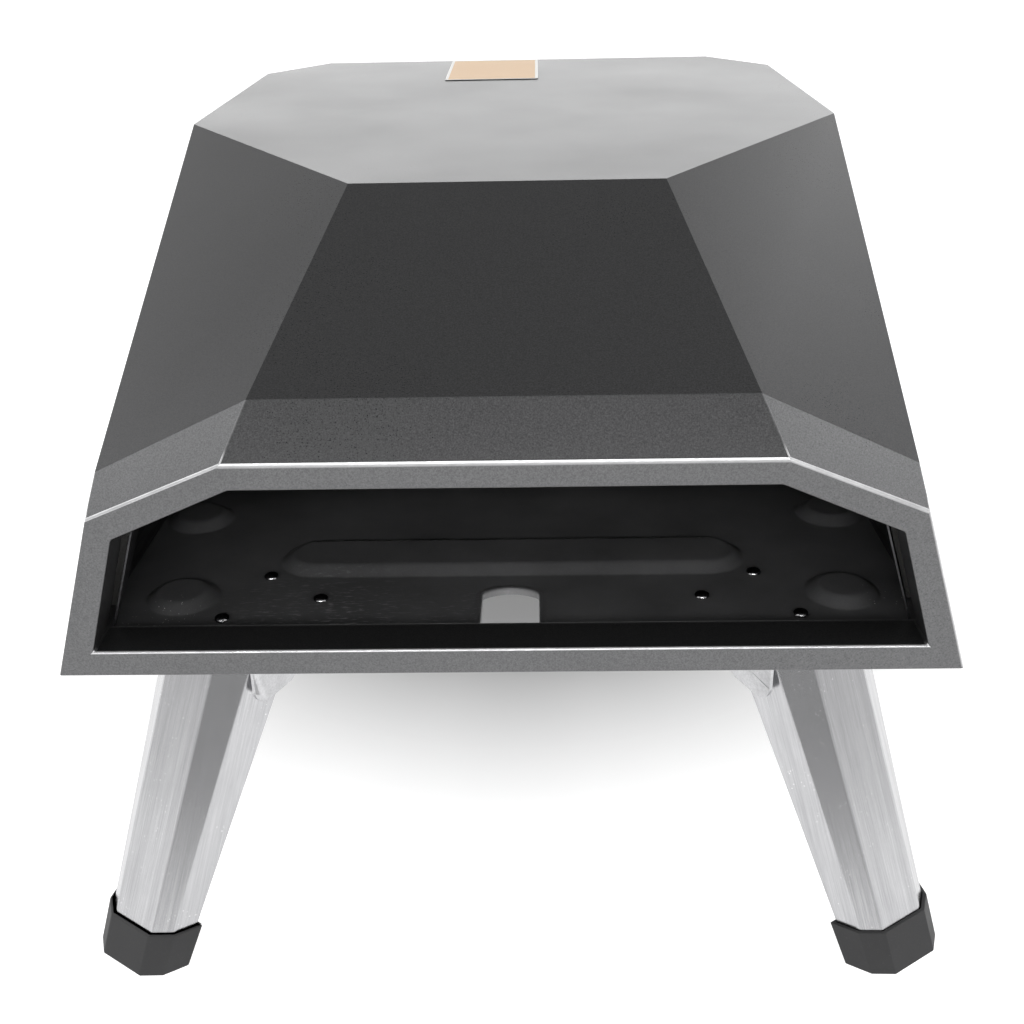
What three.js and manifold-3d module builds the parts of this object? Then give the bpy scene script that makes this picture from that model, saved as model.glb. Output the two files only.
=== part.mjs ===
// A portable outdoor pizza oven: a faceted sheet-steel hood and front frame over an embossed
// floor pan, a gas burner at the back, and four folding legs with rubber feet.
// Millimetres, +Z up, the mouth faces -Y, and the origin is on the ground below the middle.
import * as THREE from "three";
import { ConvexGeometry } from "three/addons/geometries/ConvexGeometry.js";
import { mergeVertices } from "three/addons/utils/BufferGeometryUtils.js";
import Module from "manifold-3d";

const wasm = await Module();
wasm.setup();

// ---- Driving dimensions. Depths (y) are measured from the front face, heights from the ground.
const SHEET = 1.2; // sheet steel of the body
const LINER_SHEET = 0.8;
const GAP = 0.3; // clearance between pieces that touch
const BASE_Z = 171; // underside of the body
const TOP_Z = 352; // flat top
const BODY_DEPTH = 606;

// Corners of the right half of the body, each [x, y, z].
const FACE_BOTTOM = [200, 0, BASE_Z];
const FACE_SHOULDER = [176.5, 0, 248];
const FACE_TOP = [117, 0, 272.5];
const SEAM_TOP = [106.5, 15.5, 295.5];
const TOP_FRONT = [78.5, 163, TOP_Z];
const TOP_WIDE = [195.5, 339, TOP_Z];
const TOP_REAR = [188.5, 553, TOP_Z];
const REAR_CORNER = [148, BODY_DEPTH, TOP_Z];

// The mouth: right half of its outline, each [x, z].
const MOUTH = [
  [183, 183.5],
  [167, 238.5],
  [115, 261],
];
const SILL_DEPTH = 22;

// Floor pan and what is pressed into it.
const PAN_RIM = 12;
const PAN_FRONT = 5.5;
const EMBOSS = 4.5;
const DIMPLES = [
  [160.5, 68],
  [171, 155],
];
const DIMPLE_FOOT = 17.8;
const DIMPLE_TOP = 11.6;
const RIB = { y: 106, halfLength: 118, footRadius: 19, topRadius: 12.5 };
const FINGER_HOLE = { y: 51.5, radius: 22, halfWidth: 13.7 };

// Folding legs: pivot of the front left leg, its lean and the way that it faces.
const PIVOT = { x: 142, y: 79.3, z: 144 };
const LEG_LEAN = 25;
const LEG_TURN = 35;
const LEG_SHEET = 1.8;
const LEG_FACE = -25; // the wide web lies this far in front of the pivot
// Half widths of the web, of the bend beside it and of the rear edge, and how far the last two
// lie behind the web, near the top of the leg and near its foot.
const LEG_UPPER = { z: -12, web: 15.5, bend: 30.2, bendDepth: 9.5, edge: 37.6, edgeDepth: 25 };
const LEG_LOWER = { z: -150, web: 13.4, bend: 22.5, bendDepth: 6, edge: 26.7, edgeDepth: 15.1 };
const LEG_END = 14.8;
const LEG_HALF_WIDTH = 37.6; // over the two ears that the pin goes through
const EAR_RADIUS = 11;
const CAP_RIM = 19.5; // the feet have a level rim at this height
const CAP_FLOOR = 3;
const CAP_WALL = 2.2;
const CAP_BACK = 1.2;
const PIN_RADIUS = 3;
const BRACKET_SHEET = 2;
const CHEEK_GAP = 0.6;
const BRACKET_RIVETS = [
  [22.6, -23.6],
  [48.8, 16.7],
  [12.5, 19.4],
];

// Burner and its controls, all on one axis through the rear wall.
const LINER_INSET = 18;
const BURNER = { y: 556, z: 214, radius: 12, halfLength: 150 };
const HOUSING = { halfWidth: 92, bottom: 180, top: 256, depth: 50 };
const KNOB = { radius: 19, depth: 21.3 };
const IGNITER_X = -52;

const LABEL = { left: -51, right: 16, front: 500.5, rear: 600, film: 0.4 };

const HOUSING_REAR = BODY_DEPTH + GAP + HOUSING.depth;
const KNOB_FRONT = HOUSING_REAR + 3.2;
const REAR_REACH = KNOB_FRONT + KNOB.depth;
const TOE_REACH = -8.2; // the feet stand this far ahead of the front face
const MIDDLE_Y = (REAR_REACH + TOE_REACH) / 2;

const radians = THREE.MathUtils.degToRad;

// ---- Solids
function solid(geometry) {
  const bare = new THREE.BufferGeometry();
  bare.setAttribute("position", geometry.getAttribute("position"));
  if (geometry.index) bare.setIndex(geometry.index);
  const merged = mergeVertices(bare, 1e-4);
  return new wasm.Manifold(
    new wasm.Mesh({
      numProp: 3,
      vertProperties: merged.attributes.position.array,
      triVerts: new Uint32Array(merged.index.array),
    }),
  );
}

function geometryOf(made) {
  const data = made.getMesh();
  const geometry = new THREE.BufferGeometry();
  geometry.setAttribute("position", new THREE.BufferAttribute(data.vertProperties, 3));
  geometry.setIndex(new THREE.BufferAttribute(data.triVerts, 1));
  return geometry;
}

const join = (...parts) => parts.reduce((all, part) => all.add(part));
const cut = (body, ...tools) => tools.reduce((left, tool) => left.subtract(tool), body);

function box(x0, x1, y0, y1, z0, z1) {
  const geometry = new THREE.BoxGeometry(x1 - x0, y1 - y0, z1 - z0);
  return solid(geometry.translate((x0 + x1) / 2, (y0 + y1) / 2, (z0 + z1) / 2));
}

const shapeOf = (points) => new THREE.Shape(points.map(([a, b]) => new THREE.Vector2(a, b)));

// An outline of [x, y] points, raised from z0 to z1.
function slab(shape, z0, z1, curveSegments = 8) {
  const geometry = new THREE.ExtrudeGeometry(shape, {
    depth: z1 - z0,
    bevelEnabled: false,
    curveSegments,
  });
  return geometry.translate(0, 0, z0);
}

// The same, for an outline of [x, z] points that runs from y0 back to y1.
const slabAlongY = (shape, y0, y1, segments) =>
  slab(shape, -y1, -y0, segments).rotateX(Math.PI / 2);

// The same, for an outline of [y, z] points that runs from x0 to x1.
function slabAlongX(shape, x0, x1, segments) {
  const turn = new THREE.Matrix4().makeBasis(
    new THREE.Vector3(0, 1, 0),
    new THREE.Vector3(0, 0, 1),
    new THREE.Vector3(1, 0, 0),
  );
  return slab(shape, x0, x1, segments).applyMatrix4(turn);
}

function turned(profile, segments) {
  const points = profile.map(([r, h]) => new THREE.Vector2(r, h));
  return new THREE.LatheGeometry(points, segments).rotateX(Math.PI / 2);
}

const rod = (radius, z0, z1, segments = 16) =>
  turned([[0, z0], [radius, z0], [radius, z1], [0, z1]], segments);

const rodAlongY = (radius, x, z, y0, y1, segments) =>
  rod(radius, -y1, -y0, segments).rotateX(Math.PI / 2).translate(x, 0, z);

const rodAlongX = (radius, y, z, x0, x1, segments) =>
  rod(radius, x0, x1, segments).rotateY(Math.PI / 2).translate(0, y, z);

// A convex outline moved outward by a distance.
function grown(points, distance) {
  const edge = (i) => {
    const [ax, ay] = points[(i + points.length) % points.length];
    const [bx, by] = points[(i + 1) % points.length];
    const length = Math.hypot(bx - ax, by - ay);
    const nx = (by - ay) / length;
    const ny = (ax - bx) / length;
    return { nx, ny, d: nx * ax + ny * ay + distance };
  };
  return points.map((_, i) => {
    const a = edge(i - 1);
    const b = edge(i);
    const det = a.nx * b.ny - a.ny * b.nx;
    return [(a.d * b.ny - b.d * a.ny) / det, (a.nx * b.d - b.nx * a.d) / det];
  });
}

// ---- The faceted body: the space inside a set of planes, each { normal, distance }.
const INSIDE = new THREE.Vector3(0, 300, 250);

function planeThrough(a, b, c) {
  const [p, q, r] = [a, b, c].map((corner) => new THREE.Vector3(...corner));
  const normal = q.clone().sub(p).cross(r.sub(p)).normalize();
  if (normal.dot(INSIDE) > normal.dot(p)) normal.negate();
  return { normal, distance: normal.dot(p) };
}

const facing = (x, y, z, distance) => ({ normal: new THREE.Vector3(x, y, z), distance });

const mirrored = ({ normal, distance }) => facing(-normal.x, normal.y, normal.z, distance);

const sidePlanes = [
  planeThrough(TOP_WIDE, TOP_FRONT, SEAM_TOP), // big side facet
  planeThrough(FACE_SHOULDER, FACE_TOP, SEAM_TOP), // shoulder of the front frame
  planeThrough(FACE_BOTTOM, FACE_SHOULDER, TOP_WIDE), // front part of the side wall
  planeThrough(TOP_WIDE, TOP_REAR, [200, TOP_WIDE[1], BASE_Z]), // rear part of the side wall
  planeThrough(TOP_REAR, REAR_CORNER, [REAR_CORNER[0], REAR_CORNER[1], BASE_Z]), // rear corner
];
const middlePlanes = [
  facing(0, 0, 1, TOP_Z),
  planeThrough(TOP_FRONT, SEAM_TOP, [0, SEAM_TOP[1], SEAM_TOP[2]]), // dark front slope
  planeThrough(FACE_TOP, SEAM_TOP, [0, SEAM_TOP[1], SEAM_TOP[2]]), // brow above the mouth
];

// The body with every wall moved inward by inset, down to the given floor.
function bodySpace(inset, { floor = BASE_Z, front = inset, rear = inset } = {}) {
  const planes = [
    ...sidePlanes,
    ...sidePlanes.map(mirrored),
    ...middlePlanes,
  ].map(({ normal, distance }) => ({ normal, distance: distance - inset }));
  planes.push(facing(0, 0, -1, -floor));
  planes.push(facing(0, -1, 0, -front));
  planes.push(facing(0, 1, 0, BODY_DEPTH - rear));
  return solid(new ConvexGeometry(cornersOf(planes)));
}

// Where three planes meet, or nothing where two of them are parallel.
function meetingOf(a, b, c) {
  const solve = new THREE.Matrix3();
  solve.set(...a.normal.toArray(), ...b.normal.toArray(), ...c.normal.toArray());
  if (Math.abs(solve.determinant()) < 1e-6) return null;
  return new THREE.Vector3(a.distance, b.distance, c.distance).applyMatrix3(solve.invert());
}

function cornersOf(planes) {
  const corners = new Map();
  planes.forEach((a, i) =>
    planes.slice(i + 1).forEach((b, j) =>
      planes.slice(i + j + 2).forEach((c) => {
        const corner = meetingOf(a, b, c);
        if (!corner) return;
        if (planes.some((p) => p.normal.dot(corner) > p.distance + 1e-3)) return;
        const key = corner.toArray().map((v) => Math.round(v * 20)).join();
        if (!corners.has(key)) corners.set(key, corner);
      }),
    ),
  );
  return [...corners.values()];
}

const bothHalves = (half) => [...half, ...half.map(([x, z]) => [-x, z]).reverse()];

// What lies ahead of the seam between the front frame and the hood, moved back by shift. The seam
// follows the rear edges of the brow and of the shoulders, and then goes straight down.
function frontZone(shift) {
  const low = BASE_Z - 20;
  const foot = meetingOf(...sidePlanes.slice(0, 3));
  const rise = (SEAM_TOP[1] - foot.y) / (SEAM_TOP[2] - foot.z);
  const top = 330;
  const outline = [
    [-30, low],
    [foot.y + shift, low],
    [foot.y + shift, foot.z],
    [SEAM_TOP[1] + shift + (top - SEAM_TOP[2]) * rise, top],
    [-30, top],
  ];
  return solid(slabAlongX(shapeOf(outline), -260, 260));
}

// ---- Materials
const material = (color, roughness, metalness) =>
  new THREE.MeshStandardMaterial({ color, roughness, metalness, flatShading: true });

const powderCoat = material(0x4a4b4c, 0.55, 0.2);
const panSteel = material(0x2a2b2c, 0.5, 0.3);
const linerSteel = material(0x3a3b3d, 0.45, 0.7);
const brushedSteel = material(0xb9bbbd, 0.35, 0.95);
const brightSteel = material(0xd5d7da, 0.2, 1);
const brass = material(0xb59a5a, 0.35, 0.9);
const rubber = material(0x1e1f20, 0.7, 0);
const blackPlastic = material(0x222325, 0.5, 0);
const fibre = material(0xe8e6df, 0.95, 0);
const glazedCeramic = material(0xf1efe8, 0.3, 0);
const labelFilm = material(0xe9cfa8, 0.5, 0);

const oven = new THREE.Group();
oven.name = "pizza_oven";
oven.position.y = -MIDDLE_Y;

function place(name, shape, finish, parent = oven) {
  const geometry = shape.isBufferGeometry ? shape : geometryOf(shape);
  const mesh = new THREE.Mesh(geometry, finish);
  mesh.name = name;
  parent.add(mesh);
  return mesh;
}

// ---- Hood, front frame, rear panel
const SCREW_POINTS = [
  [130, 205],
  [130, 330],
];
const REAR_OPENING = { halfWidth: 122, bottom: 192, top: 322 };

function hoodShell() {
  const inner = bodySpace(SHEET, { floor: BASE_Z - 20, front: -20 });
  const { halfWidth, bottom, top } = REAR_OPENING;
  const opening = box(-halfWidth, halfWidth, BODY_DEPTH - 10, BODY_DEPTH + 10, bottom, top);
  const holes = SCREW_POINTS.flatMap(([x, z]) =>
    [x, -x].map((side) => solid(rodAlongY(2.4, side, z, BODY_DEPTH - 8, BODY_DEPTH + 8, 12))),
  );
  return cut(bodySpace(0), inner, frontZone(GAP), opening, ...holes);
}

function frontFrame() {
  const hollow = bodySpace(SHEET, { floor: BASE_Z + SHEET, front: SHEET });
  const beforePan = bodySpace(SHEET, { floor: BASE_Z - 5, front: PAN_FRONT - 0.5 });
  const shell = cut(bodySpace(0), hollow, beforePan).intersect(frontZone(0));
  const outline = bothHalves(MOUTH).reverse();
  const mouth = solid(slabAlongY(shapeOf(outline), -5, SILL_DEPTH + 5));
  const around = shapeOf(grown(outline, -SHEET * outlineSide(outline)));
  const throat = solid(slabAlongY(around, SHEET / 3, SILL_DEPTH));
  const sillFoot = BASE_Z + SHEET + GAP + 0.5;
  const sillTop = MOUTH[0][1] - SHEET / 3;
  const sillBack = box(-180, 180, SILL_DEPTH - SHEET, SILL_DEPTH, sillFoot, sillTop);
  return join(shell, cut(throat, mouth), sillBack).subtract(mouth);
}

// +1 where the outline runs clockwise, -1 where it runs the other way.
function outlineSide(points) {
  return THREE.ShapeUtils.isClockWise(points.map(([x, y]) => new THREE.Vector2(x, y))) ? 1 : -1;
}

function rearPanel() {
  const y1 = BODY_DEPTH - SHEET - GAP;
  const y0 = y1 - SHEET;
  const plate = box(-141, 141, y0, y1, BASE_Z + PAN_RIM + 2, 343);
  const slots = [];
  for (let row = 0; row < 3; row += 1)
    for (let column = -4; column <= 4; column += 1) {
      const x = column * 26;
      const z = 276 + row * 16;
      slots.push(box(x - 9, x + 9, y0 - 5, y1 + 5, z - 2.5, z + 2.5));
    }
  const holes = SCREW_POINTS.flatMap(([x, z]) =>
    [x, -x].map((side) => solid(rodAlongY(2.4, side, z, y0 - 5, y1 + 5, 12))),
  );
  const burnerHole = solid(rodAlongY(BURNER.radius + 1.2, 0, BURNER.z, y0 - 5, y1 + 5, 24));
  return cut(plate, burnerHole, ...slots, ...holes);
}

function rearScrew(x, z) {
  const head = [[0, 0], [4.2, 0], [4.2, 1.2], [2.6, 2.6], [0, 2.8]];
  const y0 = BODY_DEPTH - 4.4;
  const body = join(
    solid(turned(head, 12).rotateX(-Math.PI / 2).translate(x, BODY_DEPTH + GAP, z)),
    solid(rodAlongY(2, x, z, y0, BODY_DEPTH + 1, 12)),
  );
  const slot = box(x - 3, x + 3, BODY_DEPTH + 2, BODY_DEPTH + 6, z - 0.5, z + 0.5);
  return cut(body, slot);
}

// ---- Liner and insulation
function innerLiner() {
  const floor = BASE_Z + 7;
  const outer = bodySpace(LINER_INSET, { floor, front: SILL_DEPTH + 4 });
  const inner = bodySpace(LINER_INSET + LINER_SHEET, { floor: floor - 20, front: -20 });
  const burnerHole = solid(
    rodAlongY(BURNER.radius + 1.2, 0, BURNER.z, BODY_DEPTH - 40, BODY_DEPTH, 24),
  );
  return cut(outer, inner, burnerHole);
}

function insulation() {
  const floor = BASE_Z + 16;
  const outer = bodySpace(SHEET + 0.6, { floor, front: SILL_DEPTH + 14, rear: 5 });
  const inner = bodySpace(LINER_INSET - 0.6, { floor: floor - 20, front: -20 });
  const burnerHole = solid(
    rodAlongY(BURNER.radius + 2, 0, BURNER.z, BODY_DEPTH - 40, BODY_DEPTH, 24),
  );
  return cut(outer, inner, burnerHole);
}

// ---- Floor pan
function dimple(x, y, drop) {
  const top = BASE_Z + SHEET + EMBOSS - drop;
  const foot = BASE_Z + SHEET - drop - 1;
  const spread = (DIMPLE_FOOT - DIMPLE_TOP) / EMBOSS;
  const profile = [[0, foot], [DIMPLE_FOOT + spread, foot], [DIMPLE_TOP, top], [0, top]];
  return solid(turned(profile, 20).translate(x, y, 0));
}

function stadium(halfLength, radius) {
  const shape = new THREE.Shape();
  const reach = halfLength - radius;
  shape.absarc(reach, 0, radius, -Math.PI / 2, Math.PI / 2);
  shape.absarc(-reach, 0, radius, Math.PI / 2, (3 * Math.PI) / 2);
  return shape;
}

function ribLayer(drop) {
  const { y, halfLength, footRadius, topRadius } = RIB;
  const spread = (footRadius - topRadius) / EMBOSS;
  const foot = BASE_Z + SHEET - drop - 1;
  const top = BASE_Z + SHEET + EMBOSS - drop;
  const ring = (radius, z) => {
    const inset = footRadius - radius;
    return stadium(halfLength - inset, radius)
      .getPoints(6)
      .map((p) => new THREE.Vector3(p.x, p.y + y, z));
  };
  return solid(new ConvexGeometry([...ring(footRadius + spread, foot), ...ring(topRadius, top)]));
}

// The finger hole: a circle with its left and right sides cut flat.
function fingerHole(margin, z0, z1) {
  const { y, radius, halfWidth } = FINGER_HOLE;
  const round = solid(rod(radius + margin, z0, z1, 28).translate(0, y, 0));
  return round.intersect(box(-halfWidth - margin, halfWidth + margin, 0, 200, z0, z1));
}

function rivetPoints() {
  const points = [];
  for (const corner of legCorners())
    BRACKET_RIVETS.forEach(([x, y], index) => {
      const at = new THREE.Vector2(x * corner.hand, y);
      at.rotateAround(new THREE.Vector2(), corner.yaw).add(new THREE.Vector2(corner.x, corner.y));
      points.push({ name: `pan_rivet_${corner.name}_${index + 1}`, x: at.x, y: at.y });
    });
  return points;
}

function floorPan() {
  const outer = bodySpace(SHEET + GAP, { floor: BASE_Z, front: PAN_FRONT });
  const inner = bodySpace(2 * SHEET + GAP, { floor: BASE_Z + SHEET, front: PAN_FRONT - 5 });
  const rimTop = box(-260, 260, -20, BODY_DEPTH + 20, BASE_Z + PAN_RIM, TOP_Z + 20);
  const frontRelief = box(-260, 260, -20, SILL_DEPTH + 2, BASE_Z + SHEET, TOP_Z);
  let pan = cut(outer, inner, rimTop, frontRelief);
  const floorLayer = box(-260, 260, 0, BODY_DEPTH, BASE_Z, BASE_Z + 20);
  const places = DIMPLES.flatMap(([x, y]) => [[x, y], [-x, y]]);
  const raised = [ribLayer(0), ...places.map(([x, y]) => dimple(x, y, 0))];
  const hollow = [ribLayer(SHEET), ...places.map(([x, y]) => dimple(x, y, SHEET))];
  pan = join(pan, ...raised.map((part) => part.intersect(floorLayer)));
  pan = cut(pan, ...hollow);
  const collarWall = fingerHole(SHEET, BASE_Z - 2.5, BASE_Z + SHEET + 0.8);
  pan = join(pan, collarWall).subtract(fingerHole(0, BASE_Z - 10, BASE_Z + 20));
  const holes = rivetPoints().map(({ x, y }) =>
    solid(rod(2.4, BASE_Z - 5, BASE_Z + 5, 8).translate(x, y, 0)),
  );
  return cut(pan, ...holes);
}

// A domed rivet through the pan and a leg bracket.
function panRivet(x, y) {
  const head = BASE_Z + SHEET + GAP;
  const tail = BASE_Z - GAP - BRACKET_SHEET - GAP;
  const profile = [
    [0, tail - 2],
    [3.2, tail - 2],
    [3.2, tail],
    [2, tail],
    [2, head],
    [3.9, head],
    [3.6, head + 1],
    [2.4, head + 1.9],
    [0, head + 2.3],
  ];
  return turned(profile, 10).translate(x, y, 0);
}

// ---- Legs
function legCorners() {
  const { x, y } = PIVOT;
  const turn = radians(LEG_TURN);
  return [
    { name: "front_left", x: -x, y, yaw: -turn, hand: 1 },
    { name: "front_right", x, y, yaw: turn, hand: -1 },
    { name: "rear_left", x: -x, y: BODY_DEPTH - y, yaw: turn - Math.PI, hand: -1 },
    { name: "rear_right", x, y: BODY_DEPTH - y, yaw: Math.PI - turn, hand: 1 },
  ];
}

// Where two lines in a plane meet, each given by its normal and its distance from the origin.
function crossing(a, b) {
  const det = a.nx * b.ny - a.ny * b.nx;
  return [(a.d * b.ny - b.d * a.ny) / det, (a.nx * b.d - b.nx * a.d) / det];
}

// The leg's section at height z along the leg, with its outside moved in by inset and its open
// rear side moved back by back.
function legSection(z, inset, back) {
  const along = (z - LEG_LOWER.z) / (LEG_UPPER.z - LEG_LOWER.z);
  const at = (key) => THREE.MathUtils.lerp(LEG_LOWER[key], LEG_UPPER[key], along);
  const web = [at("web"), LEG_FACE];
  const bend = [at("bend"), LEG_FACE + at("bendDepth")];
  const edge = [at("edge"), LEG_FACE + at("edgeDepth")];
  const face = ([ax, ay], [bx, by]) => {
    const length = Math.hypot(bx - ax, by - ay);
    const nx = (by - ay) / length;
    const ny = (ax - bx) / length;
    return { nx, ny, d: nx * ax + ny * ay - inset };
  };
  const front = { nx: 0, ny: -1, d: -LEG_FACE - inset };
  const shoulder = face(web, bend);
  const flange = face(bend, edge);
  const rear = { nx: 0, ny: 1, d: edge[1] + back };
  const half = [crossing(front, shoulder), crossing(shoulder, flange), crossing(flange, rear)];
  return half.flatMap(([x, y]) => [new THREE.Vector3(x, y, z), new THREE.Vector3(-x, y, z)]);
}

// A length of that section, swung into the deployed lean about the pivot.
function legLength(z0, z1, inset, back) {
  const corners = [...legSection(z0, inset, back), ...legSection(z1, inset, back)];
  return solid(new ConvexGeometry(corners).rotateX(radians(-LEG_LEAN)));
}

// What lies between two heights above the ground, seen from a pivot.
const levelBand = (low, high) => box(-90, 90, -200, 90, low - PIVOT.z, high - PIVOT.z);

function legChannel() {
  const outer = legLength(-200, LEG_END, 0, 0);
  const inner = legLength(-210, LEG_END + 10, LEG_SHEET, 20);
  const width = box(-LEG_HALF_WIDTH, LEG_HALF_WIDTH, -200, 200, -200, 200);
  const ears = [-LEG_HALF_WIDTH, LEG_HALF_WIDTH - LEG_SHEET].map((x) =>
    solid(rodAlongX(EAR_RADIUS, 0, 0, x, x + LEG_SHEET, 24)),
  );
  const hole = solid(rodAlongX(PIN_RADIUS + 0.4, 0, 0, -50, 50, 12));
  const channel = cut(outer, inner).intersect(width).intersect(levelBand(CAP_FLOOR + GAP, 300));
  return cut(join(channel, ...ears), hole);
}

function footCap() {
  const outer = legLength(-200, -100, -CAP_WALL, CAP_BACK).intersect(levelBand(0, CAP_RIM));
  const pocket = legLength(-210, -90, -GAP, GAP).intersect(levelBand(CAP_FLOOR, 100));
  const inside = legLength(-210, -90, LEG_SHEET + GAP, -LEG_SHEET);
  return join(cut(outer, pocket), inside.intersect(levelBand(CAP_FLOOR - 1, CAP_RIM - 5)));
}

function legPin() {
  const shoulder = LEG_HALF_WIDTH + CHEEK_GAP + BRACKET_SHEET + GAP;
  const profile = [
    [0, -shoulder - 2],
    [4.6, -shoulder - 2],
    [5.4, -shoulder - 1.2],
    [5.4, -shoulder],
    [PIN_RADIUS, -shoulder],
    [PIN_RADIUS, shoulder],
    [5.4, shoulder],
    [5.4, shoulder + 1.2],
    [4.6, shoulder + 2],
    [0, shoulder + 2],
  ];
  return turned(profile, 12).rotateY(Math.PI / 2);
}

// The plate under the pan and the two cheeks that hold the pin, with the pivot as origin.
function legBracket(hand) {
  const top = BASE_Z - GAP - PIVOT.z;
  const plateBottom = top - BRACKET_SHEET;
  const outline = [[-42, -26], [-30, -34], [34, -34], [60, 8], [60, 27], [52, 32], [-42, 32]];
  const plateShape = shapeOf(outline.map(([x, y]) => [x * hand, y]));
  let bracket = solid(slab(plateShape, plateBottom, top));
  const cheek = new THREE.Shape();
  cheek.moveTo(32, plateBottom + 0.5);
  cheek.lineTo(-24, plateBottom + 0.5);
  cheek.lineTo(-24, -7);
  cheek.absarc(-16, -7, 8, Math.PI, 1.5 * Math.PI);
  cheek.lineTo(0, -12.5);
  cheek.lineTo(32, 8);
  const inner = LEG_HALF_WIDTH + CHEEK_GAP;
  for (const side of [-1, 1]) {
    const near = side * inner;
    const far = side * (inner + BRACKET_SHEET);
    bracket = bracket.add(solid(slabAlongX(cheek, Math.min(near, far), Math.max(near, far), 4)));
  }
  const pinHole = solid(rodAlongX(PIN_RADIUS + 0.4, 0, 0, -50, 50, 12));
  const rivetHoles = BRACKET_RIVETS.map(([x, y]) =>
    solid(rod(2.4, plateBottom - 5, top + 5, 8).translate(x * hand, y, 0)),
  );
  return cut(bracket, pinHole, ...rivetHoles);
}

// ---- Burner
function burnerTube() {
  const { y, z, radius, halfLength } = BURNER;
  const inletEnd = BODY_DEPTH + 8;
  const wall = 1.2;
  const body = join(
    solid(rodAlongX(radius, y, z, -halfLength, halfLength, 16)),
    solid(rodAlongY(radius - 1, 0, z, y, inletEnd, 16)),
  );
  const bore = join(
    solid(rodAlongX(radius - wall, y, z, -halfLength + wall, halfLength - wall, 12)),
    solid(rodAlongY(radius - 1 - wall, 0, z, y, inletEnd + 5, 12)),
  );
  const ports = [];
  for (let x = -140; x <= 140; x += 20) ports.push(box(x - 1.5, x + 1.5, y - 4, y + 4, z, z + 30));
  return cut(body, bore, ...ports);
}

function burnerSaddle(x) {
  const { y, z, radius } = BURNER;
  const foot = BASE_Z + SHEET + GAP;
  const plate = box(x - 8, x + 8, y - 1, y + 1, foot, z + 4);
  const tread = box(x - 8, x + 8, y - 16, y + 1, foot, foot + 2);
  const seat = solid(rodAlongX(radius + GAP, y, z, x - 20, x + 20, 24));
  const wings = box(x - 8, x + 8, y - 15, y + 15, z - 15.5, z - 6);
  return cut(join(plate, tread, wings), seat);
}

function flameGuard() {
  const y0 = BURNER.y - 45;
  const foot = BASE_Z + SHEET + GAP;
  const plate = box(-160, 160, y0, y0 + SHEET, foot, BURNER.z + 2);
  const tread = box(-160, 160, y0 - 12, y0 + SHEET, foot, foot + SHEET);
  const brow = box(-160, 160, y0, y0 + 14, BURNER.z + 2 - SHEET, BURNER.z + 2);
  const windows = [];
  for (let x = -144; x <= 144; x += 24) windows.push(box(x - 8, x + 8, y0 - 4, y0 + 6, 192, 204));
  return cut(join(plate, tread, brow), ...windows);
}

function electrode() {
  const { y, z } = BURNER;
  const x = IGNITER_X;
  return join(
    solid(rodAlongY(1.1, x, z + 17, y + 4, y + 26, 10)),
    solid(rodAlongY(3.4, x, z + 17, y + 10, y + 24, 14)),
  );
}

// ---- Housing behind the rear wall, valve, knob and igniter
const VALVE_REAR = HOUSING_REAR - SHEET - 4;
const VALVE_FRONT = VALVE_REAR - 24;
const INLET_Z = BURNER.z;
const VALVE_MIDDLE = (VALVE_FRONT + VALVE_REAR) / 2;

function burnerHousing() {
  const { halfWidth, bottom, top } = HOUSING;
  const y0 = BODY_DEPTH + GAP;
  const outline = [
    [y0, bottom],
    [HOUSING_REAR, bottom],
    [HOUSING_REAR, top - 16],
    [HOUSING_REAR - 16, top],
    [y0, top],
  ];
  const hollowOutline = [
    [y0 - 5, bottom + SHEET],
    [HOUSING_REAR - SHEET, bottom + SHEET],
    [HOUSING_REAR - SHEET, top - 16.6],
    [HOUSING_REAR - 16.6, top - SHEET],
    [y0 - 5, top - SHEET],
  ];
  const shell = solid(slabAlongX(shapeOf(outline), -halfWidth, halfWidth));
  const hollow = solid(slabAlongX(shapeOf(hollowOutline), -halfWidth + SHEET, halfWidth - SHEET));
  const stemHole = solid(rodAlongY(4.6, 0, BURNER.z, HOUSING_REAR - 8, HOUSING_REAR + 8, 20));
  const buttonHole = solid(
    rodAlongY(8.6, IGNITER_X, BURNER.z, HOUSING_REAR - 8, HOUSING_REAR + 8, 24),
  );
  const inletHole = solid(rodAlongX(6.6, VALVE_MIDDLE, INLET_Z, halfWidth - 8, halfWidth + 8, 20));
  const airSlots = [];
  for (let x = -75; x <= 75; x += 15)
    airSlots.push(box(x - 4, x + 4, y0 + 14, y0 + 40, bottom - 5, bottom + 5));
  return cut(shell, hollow, stemHole, buttonHole, inletHole, ...airSlots);
}

function gasValve() {
  const body = box(-13, 13, VALVE_FRONT, VALVE_REAR, BURNER.z - 14, BURNER.z + 14);
  const spout = solid(rodAlongY(6, 0, BURNER.z, VALVE_FRONT - 6, VALVE_FRONT + 2, 16));
  const boss = solid(rodAlongX(7.5, VALVE_MIDDLE, BURNER.z, 10, 20, 16));
  const thread = solid(rodAlongX(5.4, VALVE_MIDDLE, BURNER.z, 15, 25, 16));
  const stemBore = solid(rodAlongY(4.3, 0, BURNER.z, VALVE_REAR - 12, VALVE_REAR + 5, 20));
  const jetBore = solid(rodAlongY(3.3, 0, BURNER.z, VALVE_FRONT - 12, VALVE_FRONT + 1, 16));
  return cut(join(body, spout, boss), thread, stemBore, jetBore);
}

function gasJet() {
  const y0 = VALVE_FRONT - 13;
  const body = join(
    solid(rodAlongY(2.9, 0, BURNER.z, y0 + 2, VALVE_FRONT - 1, 14)),
    solid(rodAlongY(4.4, 0, BURNER.z, y0, y0 + 5, 6)),
  );
  return cut(body, solid(rodAlongY(0.8, 0, BURNER.z, y0 - 5, y0 + 4, 10)));
}

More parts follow.
